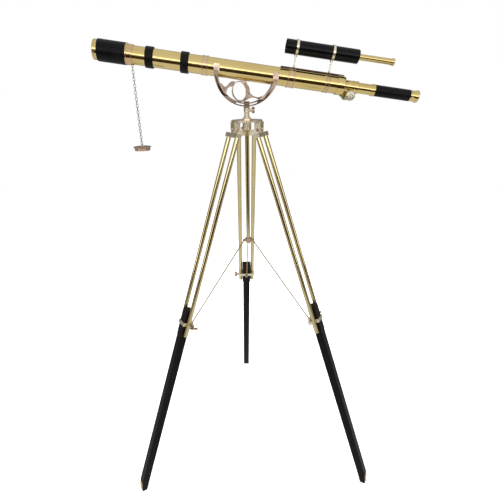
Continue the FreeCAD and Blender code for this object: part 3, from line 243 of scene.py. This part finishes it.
BRASS = brass("polished_brass_finish", (0.81, 0.64, 0.28), (0.74, 0.57, 0.22), 0.045, 0.11,
              brushed=(0.5, 0.5, 6))
LEG_BRASS = brass("leg_tube_brass_finish", (0.86, 0.74, 0.42), (0.76, 0.62, 0.3), 0.07, 0.16,
                  brushed=(6, 6, 0.3))
CAST = brass("cast_brass_finish", (0.76, 0.59, 0.48), (0.58, 0.40, 0.30), 0.09, 0.2, bump=0.06,
             uneven=0.3)
# Brass paled almost to white: partly its own cream tone, partly a painted reflection of the bright
# room on the hub, post, leg heads, clamps and finder mounts.
CREAM_AND_PAINTED_SHEEN = brass("cream_brass_painted_sheen_finish", (0.96, 0.88, 0.70), (0.90, 0.79, 0.57), 0.24, 0.38, bump=0.05)
ROSE = brass("turned_rose_brass_finish", (0.80, 0.61, 0.34), (0.68, 0.48, 0.25), 0.06, 0.14,
             brushed=(0.5, 0.5, 8))
PALE = brass("pale_knob_finish", (0.78, 0.74, 0.60), (0.66, 0.61, 0.47), 0.34, 0.48)
# The same brass with a much darker base colour: a painted shade, so that the thin stays do not
# mirror the bright room into the white background.
SHADED_STAY_BRASS = brass("stay_brass_painted_shade_finish", (0.55, 0.41, 0.15), (0.42, 0.30, 0.10), 0.35, 0.5)
CHAIN = brass("chain_finish", (0.50, 0.45, 0.38), (0.34, 0.29, 0.24), 0.16, 0.3)


def leather():
    """Black grained hide: pebbles with creases between them, worn a little paler on top."""
    finish = Finish("black_leather_finish")
    pebbles = finish.cells(620)
    creases = finish.spread(pebbles, 0.0, 1.0, 0.0, 0.32)
    grain = finish.noise(1500, 3)
    wear = finish.noise(22, 4)
    hide = finish.ramp(wear, [(0.35, (0.0012, 0.0010, 0.0013)), (0.75, (0.0035, 0.0030, 0.0036))])
    finish.colour(hide, (0.016, 0.013, 0.012))
    finish.roughness(finish.spread(wear, 0.27, 0.38, 0.3, 0.7))
    finish.bumps((creases, 0.35, 0.0003), (grain, 0.15, 0.0002))
    finish.set(Specular_IOR_Level=0.14)
    return finish.material


def wood():
    """Black-stained hardwood under satin varnish, with the grain along the leg."""
    finish = Finish("black_wood_finish")
    figure = finish.noise(60, 6, stretch=(1, 1, 0.045), rough=0.6)
    pores = finish.noise(420, 3, stretch=(1, 1, 0.03))
    stain = finish.ramp(figure, [(0.38, (0.0010, 0.0008, 0.0007)),
                                 (0.6, (0.0030, 0.0021, 0.0017)), (0.82, (0.010, 0.0055, 0.0035))])
    finish.colour(stain, (0.03, 0.016, 0.009))
    finish.roughness(finish.spread(pores, 0.24, 0.4, 0.3, 0.75))
    finish.bumps((pores, 0.22, 0.0003), (figure, 0.08, 0.0006))
    finish.set(Specular_IOR_Level=0.11, Coat_Weight=0.03, Coat_Roughness=0.12)
    return finish.material


def enamel(name, dark, light, low, high, metallic=0.0, coat=0.04):
    """Smooth paint with a little orange peel, from dark to light, rubbed paler at its edges."""
    finish = Finish(name)
    tone = finish.noise(24, 4)
    peel = finish.noise(520, 2)
    finish.colour(finish.ramp(tone, [(0.3, dark), (0.75, light)]), [value * 5 for value in light])
    finish.roughness(finish.spread(finish.noise(70, 4), low, high, 0.3, 0.7))
    finish.bumps((peel, 0.07, 0.0002))
    finish.set(Metallic=metallic, Specular_IOR_Level=0.16, Coat_Weight=coat, Coat_Roughness=0.12)
    return finish.material


def glass():
    """Clear glass with a film of dust."""
    finish = Finish("lens_glass_finish")
    dust = finish.noise(160, 5, rough=0.7)
    finish.roughness(finish.spread(dust, 0.01, 0.06, 0.45, 0.75))
    tint = [(0.3, (0.90, 0.95, 0.97)), (0.7, (0.95, 0.97, 0.99))]
    finish.colour(finish.ramp(finish.noise(9, 1), tint))
    finish.set(Transmission_Weight=1.0, IOR=1.52)
    return finish.material


LEATHER = leather()
WOOD = wood()
ENAMEL = enamel("black_enamel_finish", (0.0012, 0.0012, 0.0013), (0.003, 0.0029, 0.003),
                0.14, 0.22)
RAIL = enamel("dark_bronze_finish", (0.020, 0.010, 0.006), (0.045, 0.024, 0.014), 0.28, 0.4,
              metallic=0.4)
INSIDE = enamel("matt_black_inside", (0.006, 0.006, 0.006), (0.012, 0.012, 0.012), 0.75, 0.9,
                coat=0.0)
GLASS = glass()

# Building pieces --------------------------------------------------------------------------------


def piece(name, mesh, matrix, body, replaced, materials):
    """An object that rides on a body, in place of the replaced CAD nodes."""
    item = bpy.data.objects.new(name, mesh)
    bpy.context.scene.collection.objects.link(item)
    item.matrix_world = matrix
    mesh.materials.clear()
    for material in materials:
        mesh.materials.append(material)
    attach(item, body)
    if replaced:
        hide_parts(*replaced)
    return item


def weigh(item):
    """Shade by the larger faces, so that rounded edges blend into flat sides."""
    normals = item.modifiers.new("Normals", "WEIGHTED_NORMAL")
    normals.keep_sharp = True
    return item


CORNER_STEPS = 4
SMOOTH_BEND = math.radians(8)  # flatter corners than this stay as they are


def rounded(outline, radius):
    """A closed (station, radius) outline with its corners rounded."""
    result = []
    for index, point in enumerate(outline):
        here = Vector(point)
        before = Vector(outline[index - 1]) - here
        after = Vector(outline[(index + 1) % len(outline)]) - here
        if before.length < TINY or after.length < TINY:
            continue
        bend = math.pi - before.angle(after)
        reach = min(radius, 0.42 * before.length, 0.42 * after.length)
        if bend < SMOOTH_BEND or here.y < TINY:
            result.append(here)
            continue
        start = here + before.normalized() * reach
        end = here + after.normalized() * reach
        for step in range(CORNER_STEPS + 1):
            share = step / CORNER_STEPS
            result.append(start.lerp(here, share).lerp(here.lerp(end, share), share))
    return result


def lathe(name, outline, matrix, body, material, replaced=(), inside=None, radius=0.0004,
          steps=96, knurl=None):
    """Turn a closed outline of (station, radius) round z.

    inside is (material, radius limit) for the bore's faces; knurl is (first station, last
    station, smallest radius, depth) for the ribs on a knob's edge.
    """
    profile = rounded([Vector(point) for point in outline], radius)
    mesh = bpy.data.meshes.new(name)
    build = bmesh.new()
    rings = []
    for step in range(steps):
        angle = 2 * math.pi * step / steps
        ring = []
        for station, reach in profile:
            if knurl and knurl[0] < station < knurl[1] and reach > knurl[2]:
                reach += knurl[3] * (1 if step % 2 else -1)
            at = (reach * math.cos(angle), reach * math.sin(angle), station)
            ring.append(build.verts.new(at))
        rings.append(ring)
    for step in range(steps):
        ring, other = rings[step], rings[(step + 1) % steps]
        for index in range(len(profile)):
            after = (index + 1) % len(profile)
            if profile[index].y < TINY and profile[after].y < TINY:
                continue
            face = build.faces.new((ring[index], other[index], other[after], ring[after]))
            face.smooth = True
            if inside and max(profile[index].y, profile[after].y) < inside[1]:
                face.material_index = 1
    bmesh.ops.remove_doubles(build, verts=build.verts, dist=TINY)
    bmesh.ops.recalc_face_normals(build, faces=build.faces)
    build.to_mesh(mesh)
    build.free()
    materials = [material] + ([inside[0]] if inside else [])
    return weigh(piece(name, mesh, matrix, body, replaced, materials))


WELD = 2e-6
FLAT = math.radians(0.6)  # faces that bend less than this are one face
SHARP = math.radians(32)  # edges that bend more than this are rounded


def softened(node, matrix, body, material, width, segments=2):
    """A copy of a CAD casting, cleaned of its flat triangles, with its sharp edges rounded."""
    mesh = nodes[node].data.copy()
    for layer in ("custom_normal", "sharp_edge"):
        if layer in mesh.attributes:
            mesh.attributes.remove(mesh.attributes[layer])
    mesh.transform(matrix.inverted())
    build = bmesh.new()
    build.from_mesh(mesh)
    bmesh.ops.remove_doubles(build, verts=build.verts, dist=WELD)
    bmesh.ops.dissolve_limit(build, angle_limit=FLAT, verts=build.verts, edges=build.edges)
    for face in build.faces:
        face.smooth = True
        face.material_index = 0
    build.to_mesh(mesh)
    build.free()
    item = piece(node + "_piece", mesh, matrix, body, [node], [material])
    bevel = item.modifiers.new("Edges", "BEVEL")
    bevel.width = width
    bevel.segments = segments
    bevel.limit_method = "ANGLE"
    bevel.angle_limit = SHARP
    bevel.miter_outer = "MITER_ARC"
    bevel.harden_normals = True
    return weigh(item)


def tube(low, high, outer, inner):
    """The outline of a plain tube."""
    return [(low, inner), (low, outer), (high, outer), (high, inner)]


# Main telescope ---------------------------------------------------------------------------------


def stations(node):
    """Front station, back station and outer radius of a turned node on the optical axis."""
    low, high = extent(node, AIM)
    return low.z, high.z, high.y


barrel_front, barrel_back, barrel = stations("main_barrel")
lathe("barrel_tube", tube(barrel_front, barrel_back, barrel, barrel - 1.2 * MM), AIM, "telescope",
      BRASS, ["main_barrel"], inside=(INSIDE, barrel - 0.6 * MM), steps=128)

dew_front, dew_back, rim = stations("dew_cap")
dew = rim - 0.4 * MM
bore = dew - 2.3 * MM
lathe("dew_cap_tube", [
    (dew_front, bore), (dew_front, dew - 0.6 * MM), (dew_front + 2.4 * MM, rim),
    (dew_front + 5.4 * MM, rim), (dew_front + 6 * MM, dew - 0.5 * MM),
    (dew_front + 7 * MM, dew), (dew_back, dew), (dew_back, bore)],
    AIM, "telescope", BRASS, ["dew_cap"], inside=(INSIDE, bore + 0.4 * MM),
    radius=0.0008, steps=128)

wrap_front, wrap_back, wrap = stations("dew_cap_leather")
lathe("dew_cap_wrap", tube(wrap_front, wrap_back, wrap, dew), AIM, "telescope",
      LEATHER, ["dew_cap_leather"], radius=0.0012, steps=128)

cell_front = dew_back - 16 * MM
cell_back = barrel_front + 7.8 * MM
glass_radius = bore - 2.2 * MM
lathe("objective_cell_ring", [
    (cell_front, glass_radius), (cell_front, bore - 0.05 * MM), (dew_back, bore - 0.05 * MM),
    (dew_back + SEAT, wrap - 0.6 * MM), (dew_back + 3 * MM, wrap - 0.6 * MM),
    (dew_back + 4 * MM, wrap - 1.5 * MM), (dew_back + 8.5 * MM, barrel + 2.9 * MM),
    (cell_back - 4.5 * MM, barrel + 1.5 * MM), (cell_back - 4 * MM, barrel + 1.7 * MM),
    (cell_back, barrel + 1.7 * MM), (cell_back, barrel + SEAT),
    (barrel_front, barrel + SEAT), (barrel_front, glass_radius)],
    AIM, "telescope", ROSE, ["objective_cell"],
    inside=(INSIDE, glass_radius + 0.3 * MM), radius=0.0005, steps=128)


RING_STEPS = 40
WIRE_STEPS = 14


def ring(name, matrix, body, slot, material):
    """A ring of round wire about the matrix's z axis, as the chain's end links are."""
    mesh = bpy.data.meshes.new(name)
    build = bmesh.new()
    loops = []
    for step in range(RING_STEPS):
        angle = 2 * math.pi * step / RING_STEPS
        out = Vector((math.cos(angle), math.sin(angle), 0))
        loop = []
        for part in range(WIRE_STEPS):
            turn = 2 * math.pi * part / WIRE_STEPS
            loop.append(build.verts.new(out * (LINK_RADIUS + LINK_WIRE * math.cos(turn))
                                        + Vector((0, 0, LINK_WIRE * math.sin(turn)))))
        loops.append(loop)
    for step in range(RING_STEPS):
        loop, other = loops[step], loops[(step + 1) % RING_STEPS]
        for part in range(WIRE_STEPS):
            after = (part + 1) % WIRE_STEPS
            face = build.faces.new((loop[part], other[part], other[after], loop[after]))
            face.smooth = True
    bmesh.ops.recalc_face_normals(build, faces=build.faces)
    build.to_mesh(mesh)
    build.free()
    return piece(name, mesh, matrix, body, (), [material])


lug_at = AIM.inverted() @ place("chain_top_swing")
side_ring = Matrix.Rotation(math.radians(90), 4, "X")
ring("chain_lug_ring", AIM @ Matrix.Translation(lug_at) @ side_ring, "telescope",
     "polished_brass", ROSE)


def lens(name, node, matrix, body):
    """A glass with two curved faces and a plain rim, in the place of a CAD lens."""
    low, high = extent(node, matrix)
    edge = high.y
    middle = (low.z + high.z) / 2
    half = (high.z - low.z) / 2
    rim_half = half * 0.36
    outline = [(middle - half, 0)]
    for share in (0.25, 0.5, 0.75, 1):
        outline.append((middle - half + (half - rim_half) * share ** 2, edge * share))
    for share in (1, 0.75, 0.5, 0.25):
        outline.append((middle + half - (half - rim_half) * share ** 2, edge * share))
    outline.append((middle + half, 0))
    return lathe(name, outline, matrix, body, GLASS, [node], radius=0.0003)


lens("object_glass", "objective_lens", AIM, "telescope")

band_low, band_high = extent("leather_bands", AIM)
band = band_high.y
BAND_WIDTH = 24 * MM
for index, start in enumerate((band_low.z, band_high.z - BAND_WIDTH)):
    end = start + BAND_WIDTH
    lathe("leather_band_%d" % (index + 1), [
        (start, barrel + SEAT), (start, band - 0.9 * MM), (start + 1.6 * MM, band - 0.1 * MM),
        (start + BAND_WIDTH / 2, band), (end - 1.6 * MM, band - 0.1 * MM), (end, band - 0.9 * MM),
        (end, barrel + SEAT)],
        AIM, "telescope", LEATHER, ["leather_bands"], radius=0.0008, steps=128)


def beaded_ring(word):
    """A turned barrel ring: a bead at each end and a fine groove beside each bead."""
    node = word + "_barrel_ring"
    start, end, high = stations(node)
    low = high - 1.1 * MM
    base = barrel + SEAT
    outline = [(start, base), (start, high - 0.5 * MM), (start + 0.9 * MM, high),
               (start + 2.7 * MM, high), (start + 3.4 * MM, low - 0.2 * MM),
               (start + 4.2 * MM, low), (end - 4.2 * MM, low), (end - 3.4 * MM, low - 0.2 * MM),
               (end - 2.7 * MM, high), (end - 0.9 * MM, high), (end, high - 0.5 * MM), (end, base)]
    return lathe(word + "_ring", outline, AIM, "telescope", ROSE, [node],
                 radius=0.0005, steps=128)


for word in ("front", "middle", "rear"):
    beaded_ring(word)
softened("tail_piece", AIM, "telescope", BRASS, 0.3 * MM)
softened("finder_rail", AIM, "telescope", RAIL, 0.5 * MM)

# Focuser and eyepiece

sleeve_front, sleeve_back, sleeve_high = stations("focus_sleeve")
sleeve = sleeve_high - 0.8 * MM
lathe("sleeve_tube", [
    (sleeve_front, sleeve - 2.4 * MM), (sleeve_front, sleeve), (sleeve_back - 19 * MM, sleeve),
    (sleeve_back - 18.6 * MM, sleeve_high), (sleeve_back - 14 * MM, sleeve_high),
    (sleeve_back - 13.4 * MM, sleeve_high - 0.5 * MM),
    (sleeve_back - 5.6 * MM, sleeve_high - 0.5 * MM),
    (sleeve_back - 5 * MM, sleeve_high), (sleeve_back - 1.2 * MM, sleeve_high),
    (sleeve_back, sleeve_high - 1.2 * MM), (sleeve_back, sleeve - 2.4 * MM)],
    AIM, "focus_sleeve", BRASS, ["focus_sleeve"], radius=0.0004, steps=112)

eye_low, eye_high = extent("eyepiece_tube", AIM)
eye_tube = sleeve - 2.46 * MM
wall = eye_tube - 2 * MM
grip_low, grip_high, grip = stations("eyepiece_leather")
eye_ring = grip_low - 13 * MM
grip_tube = sleeve - 2.7 * MM
lathe("eyepiece_draw_tube", [
    (eye_low.z, wall), (eye_low.z, eye_tube), (eye_ring, eye_tube),
    (eye_ring + 3.5 * MM, sleeve - 0.6 * MM), (eye_ring + 4.5 * MM, sleeve - 0.2 * MM),
    (eye_ring + 6.5 * MM, sleeve - 0.2 * MM), (eye_ring + 7.2 * MM, sleeve - 0.9 * MM),
    (eye_ring + 8.4 * MM, sleeve - 0.9 * MM), (eye_ring + 9.1 * MM, sleeve - 0.2 * MM),
    (grip_low, sleeve - 0.2 * MM), (grip_low, grip_tube), (eye_high.z, grip_tube),
    (eye_high.z, wall)],
    AIM, "eyepiece", BRASS, ["eyepiece_tube"], inside=(INSIDE, wall + 0.3 * MM),
    radius=0.0005, steps=112)
lathe("eyepiece_grip", tube(grip_low, grip_high, grip, grip_tube + SEAT), AIM, "eyepiece",
      LEATHER, ["eyepiece_leather"], radius=0.0009, steps=112)
cup_low, cup_high, cup = stations("eye_cup")
EYE_HOLE = 9 * MM
lathe("eye_cup_flare", [
    (cup_low, grip_tube + SEAT), (cup_low, grip), (cup_low + 3.4 * MM, grip),
    (cup_low + 4.2 * MM, grip - 0.7 * MM), (cup_low + 6 * MM, grip - 0.7 * MM),
    (cup_low + 10 * MM, grip - 1.2 * MM), (cup_low + 14 * MM, grip - 0.9 * MM),
    (cup_low + 18.5 * MM, grip + 0.1 * MM), (cup_high - 6.5 * MM, cup - 0.1 * MM),
    (cup_high - 3 * MM, cup), (cup_high - 0.6 * MM, cup - 0.6 * MM), (cup_high, cup - 2.2 * MM),
    (cup_high - 0.3 * MM, 14 * MM), (cup_high - 5 * MM, EYE_HOLE), (cup_low + 8 * MM, EYE_HOLE),
    (cup_low + 8 * MM, grip_tube + SEAT)],
    AIM, "eyepiece", BRASS, ["eye_cup"], inside=(INSIDE, 9.4 * MM),
    radius=0.0006, steps=112)
lens("eye_glass", "eyepiece_lens", AIM, "eyepiece")

# Focusing knobs on the pinion's shaft, with knurled edges

pinion = AIM.inverted() @ place("focus_pinion_turn")
knob_low, knob_high = extent("focus_knobs", AIM)
knob = (knob_high.z - knob_low.z) / 2
reach = knob_high.y
KNOB_WIDTH = 9 * MM
SHAFT_HOLE = 2.52 * MM
for side, word in ((1, "front"), (-1, "back")):
    turn = Matrix.Rotation(math.radians(-90 * side), 4, "X")
    at = AIM @ Matrix.Translation(Vector((pinion.x, 0, pinion.z))) @ turn
    start = reach - KNOB_WIDTH
    lathe("focus_knob_" + word, [
        (start - 6 * MM, SHAFT_HOLE), (start - 6 * MM, 5 * MM), (start - 0.8 * MM, 5 * MM),
        (start, 6.2 * MM), (start + 0.2 * MM, knob - 2.4 * MM),
        (start + 1.8 * MM, knob - 0.35 * MM),
        (start + 2.2 * MM, knob - 0.3 * MM), (start + 5.8 * MM, knob - 0.3 * MM),
        (start + 6.2 * MM, knob - 0.5 * MM), (start + 7.4 * MM, knob - 2 * MM),
        (start + 8.4 * MM, knob - 4.6 * MM), (start + 8.8 * MM, 5.4 * MM),
        (start + 8.1 * MM, 4.6 * MM), (start + 8.1 * MM, 3.2 * MM), (start + 8.6 * MM, 0),
        (start + 5.9 * MM, 0), (start + 5.9 * MM, SHAFT_HOLE)],
        at, "focus_pinion", PALE, ["focus_knobs"], radius=0.0005, steps=160,
        knurl=(start + 1.9 * MM, start + 6.1 * MM, knob - 0.6 * MM, 0.16 * MM))

# Finder telescope

finder_low, finder_high = extent("finder_body", AIM)
FINDER = AIM @ Matrix.Translation(Vector(((finder_low.x + finder_high.x) / 2, 0, 0)))
finder = (finder_high.x - finder_low.x) / 2
finder_bore = finder - 2 * MM
draw_low, draw_high = extent("finder_drawtube", FINDER)
draw_rim = draw_high.y
draw = draw_rim - 1.8 * MM
lathe("finder_barrel", [
    (finder_low.z, finder_bore), (finder_low.z, finder - 0.8 * MM),
    (finder_low.z + 1 * MM, finder),
    (finder_high.z - 1.2 * MM, finder), (finder_high.z, finder - 1.2 * MM),
    (finder_high.z, draw + 0.06 * MM), (finder_high.z - 6 * MM, draw + 0.06 * MM),
    (finder_high.z - 6 * MM, finder_bore)],
    FINDER, "telescope", ENAMEL, ["finder_body"],
    inside=(INSIDE, finder_bore + 0.3 * MM), radius=0.0006, steps=112)
lathe("finder_draw_tube", [
    (draw_low.z, draw - 1 * MM), (draw_low.z, draw), (draw_high.z - 17 * MM, draw),
    (draw_high.z - 12 * MM, draw + 0.35 * MM), (draw_high.z - 7 * MM, draw + 1.1 * MM),
    (draw_high.z - 4 * MM, draw_rim - 0.1 * MM), (draw_high.z - 2.6 * MM, draw_rim),
    (draw_high.z - 0.6 * MM, draw_rim), (draw_high.z, draw_rim - 0.7 * MM),
    (draw_high.z, 6.2 * MM), (draw_high.z - 1.6 * MM, 4.5 * MM),
    (draw_high.z - 8 * MM, 4.5 * MM), (draw_high.z - 8 * MM, draw - 1 * MM)],
    FINDER, "finder_drawtube", BRASS, ["finder_drawtube"],
    inside=(INSIDE, draw - 0.6 * MM), radius=0.0005)
lens("finder_object_glass", "finder_objective", FINDER, "telescope")
lens("finder_eye_glass", "finder_eye_lens", FINDER, "finder_drawtube")

for end in ("front", "rear"):
    softened("finder_%s_mount" % end, FINDER, "telescope", CREAM_AND_PAINTED_SHEEN, 0.5 * MM)

# Castings and fixings ----------------------------------------------------------------------------

softened("quadrant_bracket", AIM, "telescope", CAST, 1.5 * MM, segments=3)
softened("bracket_screws", AIM, "telescope", CAST, 0.5 * MM)
softened("tripod_hub", COLUMN, "tripod_head", CREAM_AND_PAINTED_SHEEN, 0.9 * MM)
softened("leg_hinge_bolts", COLUMN, "tripod_head", CAST, 0.5 * MM)
softened("column_end_nut", COLUMN, "tripod_head", BRASS, 0.8 * MM)
softened("post", COLUMN, "tripod_head", CREAM_AND_PAINTED_SHEEN, 0.7 * MM)
softened("post_wing_screw", COLUMN, "post_screw", CAST, 0.8 * MM)
softened("fork_head", COLUMN, "fork_head", CAST, 0.8 * MM)
softened("fork_bolt", COLUMN, "fork_head", CAST, 0.4 * MM)
softened("stay_collar", COLUMN, "collar", CAST, 0.5 * MM)
column_low, column_high = extent("centre_column", COLUMN)
lathe("column_rod", tube(column_low.z, column_high.z, column_high.x, 0), COLUMN, "tripod_head",
      LEG_BRASS, ["centre_column"], radius=0.0008)

STAY_RADIUS = 2.05 * MM
EYE_REACH = 8 * MM
for leg in LEGS:
    upper = "upper_leg_" + leg
    lower = "lower_leg_" + leg
    softened("leg_head_" + leg, LEG[leg], upper, CREAM_AND_PAINTED_SHEEN, 1.1 * MM)
    softened("leg_clamp_" + leg, LEG[leg], upper, CREAM_AND_PAINTED_SHEEN, 0.8 * MM)
    softened("leg_wing_screw_" + leg, LEG[leg], "clamp_screw_" + leg, CAST,
             1.1 * MM, segments=3)
    softened("lower_leg_" + leg, LEG[leg], lower, WOOD, 1.4 * MM, segments=3)
    softened("toe_plate_" + leg, LEG[leg], lower, BRASS, 0.6 * MM)
    softened("stay_" + leg, LEG[leg], "stay_" + leg, SHADED_STAY_BRASS, 0.4 * MM)
    # The rod runs from the stay's upper pivot to its lower eye, which lies farthest from it
    pivot = place("stay_hinge_" + leg)
    reaches = [((vertex.co - pivot).length, vertex.co)
               for vertex in nodes["stay_" + leg].data.vertices]
    length = max(reached for reached, point in reaches)
    lower_eye = [point for reached, point in reaches if reached > length - EYE_REACH]
    down = (sum(lower_eye, Vector()) / len(lower_eye) - pivot).normalized()
    hinge = direction("stay_hinge_" + leg)
    lathe("stay_rod_" + leg, [
        (6 * MM, 0), (6 * MM, 2.3 * MM), (9 * MM, 2.5 * MM), (12 * MM, STAY_RADIUS),
        (length - 16 * MM, STAY_RADIUS), (length - 13 * MM, 2.5 * MM),
        (length - 10 * MM, 2.3 * MM), (length - 10 * MM, 0)],
        basis(hinge.cross(down), hinge, down, pivot), "stay_" + leg, SHADED_STAY_BRASS, steps=32)
    low, high = extent("leg_tubes_" + leg, LEG[leg])
    size = (high.x - low.x) / 2
    for side, centre in ((1, high.y - size), (-1, low.y + size)):
        at = LEG[leg] @ Matrix.Translation(Vector((0, centre, 0)))
        bottom = low.z
        lathe("leg_tube_%s_%s" % (leg, "ccw" if side > 0 else "cw"), [
            (bottom, 0), (bottom, size - 3 * MM), (bottom + 1.6 * MM, size - 0.7 * MM),
            (bottom + 2.4 * MM, size), (bottom + 3.8 * MM, size),
            (bottom + 4.1 * MM, size - 0.35 * MM), (bottom + 4.6 * MM, size - 0.35 * MM),
            (bottom + 4.9 * MM, size), (high.z, size), (high.z, 0)],
            at, upper, LEG_BRASS, ["leg_tubes_" + leg], radius=0.0005, steps=64)

# Nodes shown as the CAD made them, with a finish: the chain's links, and the rack and pinion

for node, finish in (("chain_upper", CHAIN), ("chain_lower", CHAIN), ("focus_rack", BRASS),
                     ("focus_pinion", ROSE)):
    for material_slot in nodes[node].material_slots:
        material_slot.material = finish
for half in ("chain_upper", "chain_lower"):
    for polygon in nodes[half].data.polygons:
        polygon.use_smooth = True

# Lens cap

cap_low, cap_high = extent("lens_cap", COLUMN)
CAP = Matrix.Translation(place("lens_cap_swing"))
cap = (cap_high.x - cap_low.x) / 2
top = -LINK_RADIUS - LINK_WIRE - 1.5 * MM
plug = cap - 3.7 * MM
RIBS = 5
ribs = []
for index in range(RIBS):
    level_at = top - 3.4 * MM - index * 1.6 * MM
    ribs += [(level_at, plug), (level_at - 0.5 * MM, plug - 0.45 * MM),
             (level_at - 1.1 * MM, plug - 0.45 * MM), (level_at - 1.5 * MM, plug)]
cap_bottom = top - 12 * MM
lathe("lens_cap_disc", [
    (top + 0.2 * MM, 0), (top + 1.9 * MM, 0.6 * MM), (top + 1.9 * MM, 3 * MM),
    (top + 0.5 * MM, 4.4 * MM), (top, 6 * MM), (top - 0.4 * MM, cap - 9 * MM),
    (top - 0.1 * MM, cap - 5 * MM),
    (top - 0.1 * MM, cap - 0.9 * MM), (top - 0.9 * MM, cap), (top - 2.9 * MM, cap),
    (top - 3.1 * MM, plug + 0.6 * MM)] + ribs + [
    (cap_bottom, plug), (cap_bottom, plug - 1.6 * MM), (top - 3.4 * MM, plug - 1.6 * MM),
    (top - 3.4 * MM, 0)],
    CAP, "lens_cap", CAST, ["lens_cap"], radius=0.0004, steps=120)
ring("lens_cap_ring", CAP @ Matrix.Rotation(math.radians(90), 4, "Y"), "lens_cap",
     "satin_brass", CAST)

# Floor, light and surroundings -------------------------------------------------------------------

FLOOR_RADIUS = 7
FADE = (2.0, 6.5)  # the floor fades out between these distances from the column
floor_mesh = bpy.data.meshes.new("Floor")
build = bmesh.new()
bmesh.ops.create_circle(build, cap_ends=True, segments=96, radius=FLOOR_RADIUS)
build.to_mesh(floor_mesh)
build.free()
floor = bpy.data.objects.new("Floor", floor_mesh)
bpy.context.scene.collection.objects.link(floor)
floor.location = home + Vector((0, 0, -0.0005))
floor.visible_glossy = False
paper = Finish("pale_floor")
paper.set(Roughness=0.75, Specular_IOR_Level=0.2, Emission_Color=(1, 1, 1, 1),
          Emission_Strength=0.3)
mottle = paper.noise(0.8, 3)
paper.colour(paper.ramp(mottle, [(0.3, (0.86, 0.86, 0.86)), (0.7, (0.9, 0.9, 0.9))]))
distance = paper.add("ShaderNodeVectorMath", operation="LENGTH")
paper.link(paper.coordinates.outputs["Object"], distance.inputs[0])
paper.link(paper.spread(distance.outputs["Value"], 1.0, 0.0, *FADE),
           paper.shader.inputs["Alpha"])
floor_mesh.materials.append(paper.material)

world = bpy.data.worlds.new("Studio")
bpy.context.scene.world = world
world.use_nodes = True
tree = world.node_tree


def connect(source, target):
    tree.links.new(source, target)


def levels(source, stops):
    """A grey ramp of (position, brightness), a little warm where it is dark."""
    node = tree.nodes.new("ShaderNodeValToRGB")
    while len(node.color_ramp.elements) < len(stops):
        node.color_ramp.elements.new(0.5)
    for element, (position, bright) in zip(node.color_ramp.elements, stops):
        warm = 0.8 if bright < 0.3 else 0.98
        element.position = position
        element.color = (bright, bright * (1 + warm) / 2, bright * warm, 1)
    connect(source, node.inputs["Fac"])
    return node.outputs["Color"]


def blended(factor, first, second):
    """The first colour where the factor is 0, the second, a colour or a socket, where it is 1."""
    node = tree.nodes.new("ShaderNodeMix")
    node.data_type = "RGBA"
    connect(factor, node.inputs["Factor"])
    connect(first, node.inputs["A"])
    if isinstance(second, tuple):
        node.inputs["B"].default_value = second
    else:
        connect(second, node.inputs["B"])
    return node.outputs["Result"]


def between(source, start, end):
    """0 at the start and 1 at the end."""
    node = tree.nodes.new("ShaderNodeMapRange")
    node.inputs["From Min"].default_value = start
    node.inputs["From Max"].default_value = end
    connect(source, node.inputs["Value"])
    return node.outputs["Result"]


# The room by direction: a bright wall in front above eye level, dimmer walls beside and behind
ray = tree.nodes.new("ShaderNodeTexCoord")
split = tree.nodes.new("ShaderNodeSeparateXYZ")
connect(ray.outputs["Generated"], split.inputs["Vector"])
height = between(split.outputs["Z"], -1, 1)
ahead = levels(height, [
    (0.0, 0.72), (0.10, 0.70), (0.25, 0.66), (0.41, 0.52), (0.47, 0.26), (0.526, 0.24),
    (0.532, 3.2), (0.578, 2.5), (0.64, 1.3), (0.70, 0.84), (0.85, 0.78), (1.0, 0.74)])
behind = levels(height, [
    (0.0, 0.72), (0.15, 0.6), (0.35, 0.34), (0.5, 0.16), (0.62, 0.2), (0.75, 0.5), (1.0, 0.74)])
room = blended(between(split.outputs["Y"], -0.62, -0.30), ahead, behind)
path = tree.nodes.new("ShaderNodeLightPath")
connect(blended(path.outputs["Is Camera Ray"], room, (1, 1, 1, 1)),
        tree.nodes["Background"].inputs["Color"])


def softbox(name, at, size, power, target):
    """A soft area light; its place and target are counted from the foot of the column."""
    light = bpy.data.lights.new(name, "AREA")
    light.shape = "RECTANGLE"
    light.size, light.size_y = size
    light.energy = power
    item = bpy.data.objects.new(name, light)
    bpy.context.scene.collection.objects.link(item)
    item.location = home + Vector(at)
    aim = home + Vector(target) - item.location
    item.rotation_euler = aim.to_track_quat("-Z", "Y").to_euler()
    return item


# Soft lights for the floor and the dark pieces; polished metal mirrors only the surroundings
for light in (softbox("Key", (-1.6, -3.0, 3.2), (2.4, 1.2), 60, (0, 0, 1.1)),
              softbox("Fill", (2.6, -2.4, 2.2), (1.2, 2.2), 30, (0, 0, 1.0)),
              softbox("Top", (0, 0.4, 4.2), (4.0, 4.0), 260, (0, 0, 0))):
    light.visible_glossy = False

# A dark card between camera and object, seen only in reflections, draws the dark line below the
# highlight on the tubes
CARD_HALF = 1.1
CARD_HEIGHT = 0.75
flag_mesh = bpy.data.meshes.new("Flag")
build = bmesh.new()
corners = ((-CARD_HALF, 0), (CARD_HALF, 0), (CARD_HALF, CARD_HEIGHT), (-CARD_HALF, CARD_HEIGHT))
build.faces.new([build.verts.new((x, 0, z)) for x, z in corners])
build.to_mesh(flag_mesh)
build.free()
flag = bpy.data.objects.new("Flag", flag_mesh)
bpy.context.scene.collection.objects.link(flag)
flag.location = home + Vector((0, -1.05, 0.66))
for rays in ("camera", "diffuse", "transmission", "volume_scatter", "shadow"):
    setattr(flag, "visible_" + rays, False)
felt = enamel("dark_flag", (0.02, 0.012, 0.008), (0.04, 0.025, 0.016), 0.8, 0.9, coat=0.0)
flag_mesh.materials.append(felt)

bpy.context.scene.view_settings.view_transform = "Standard"

bpy.context.view_layer.update()
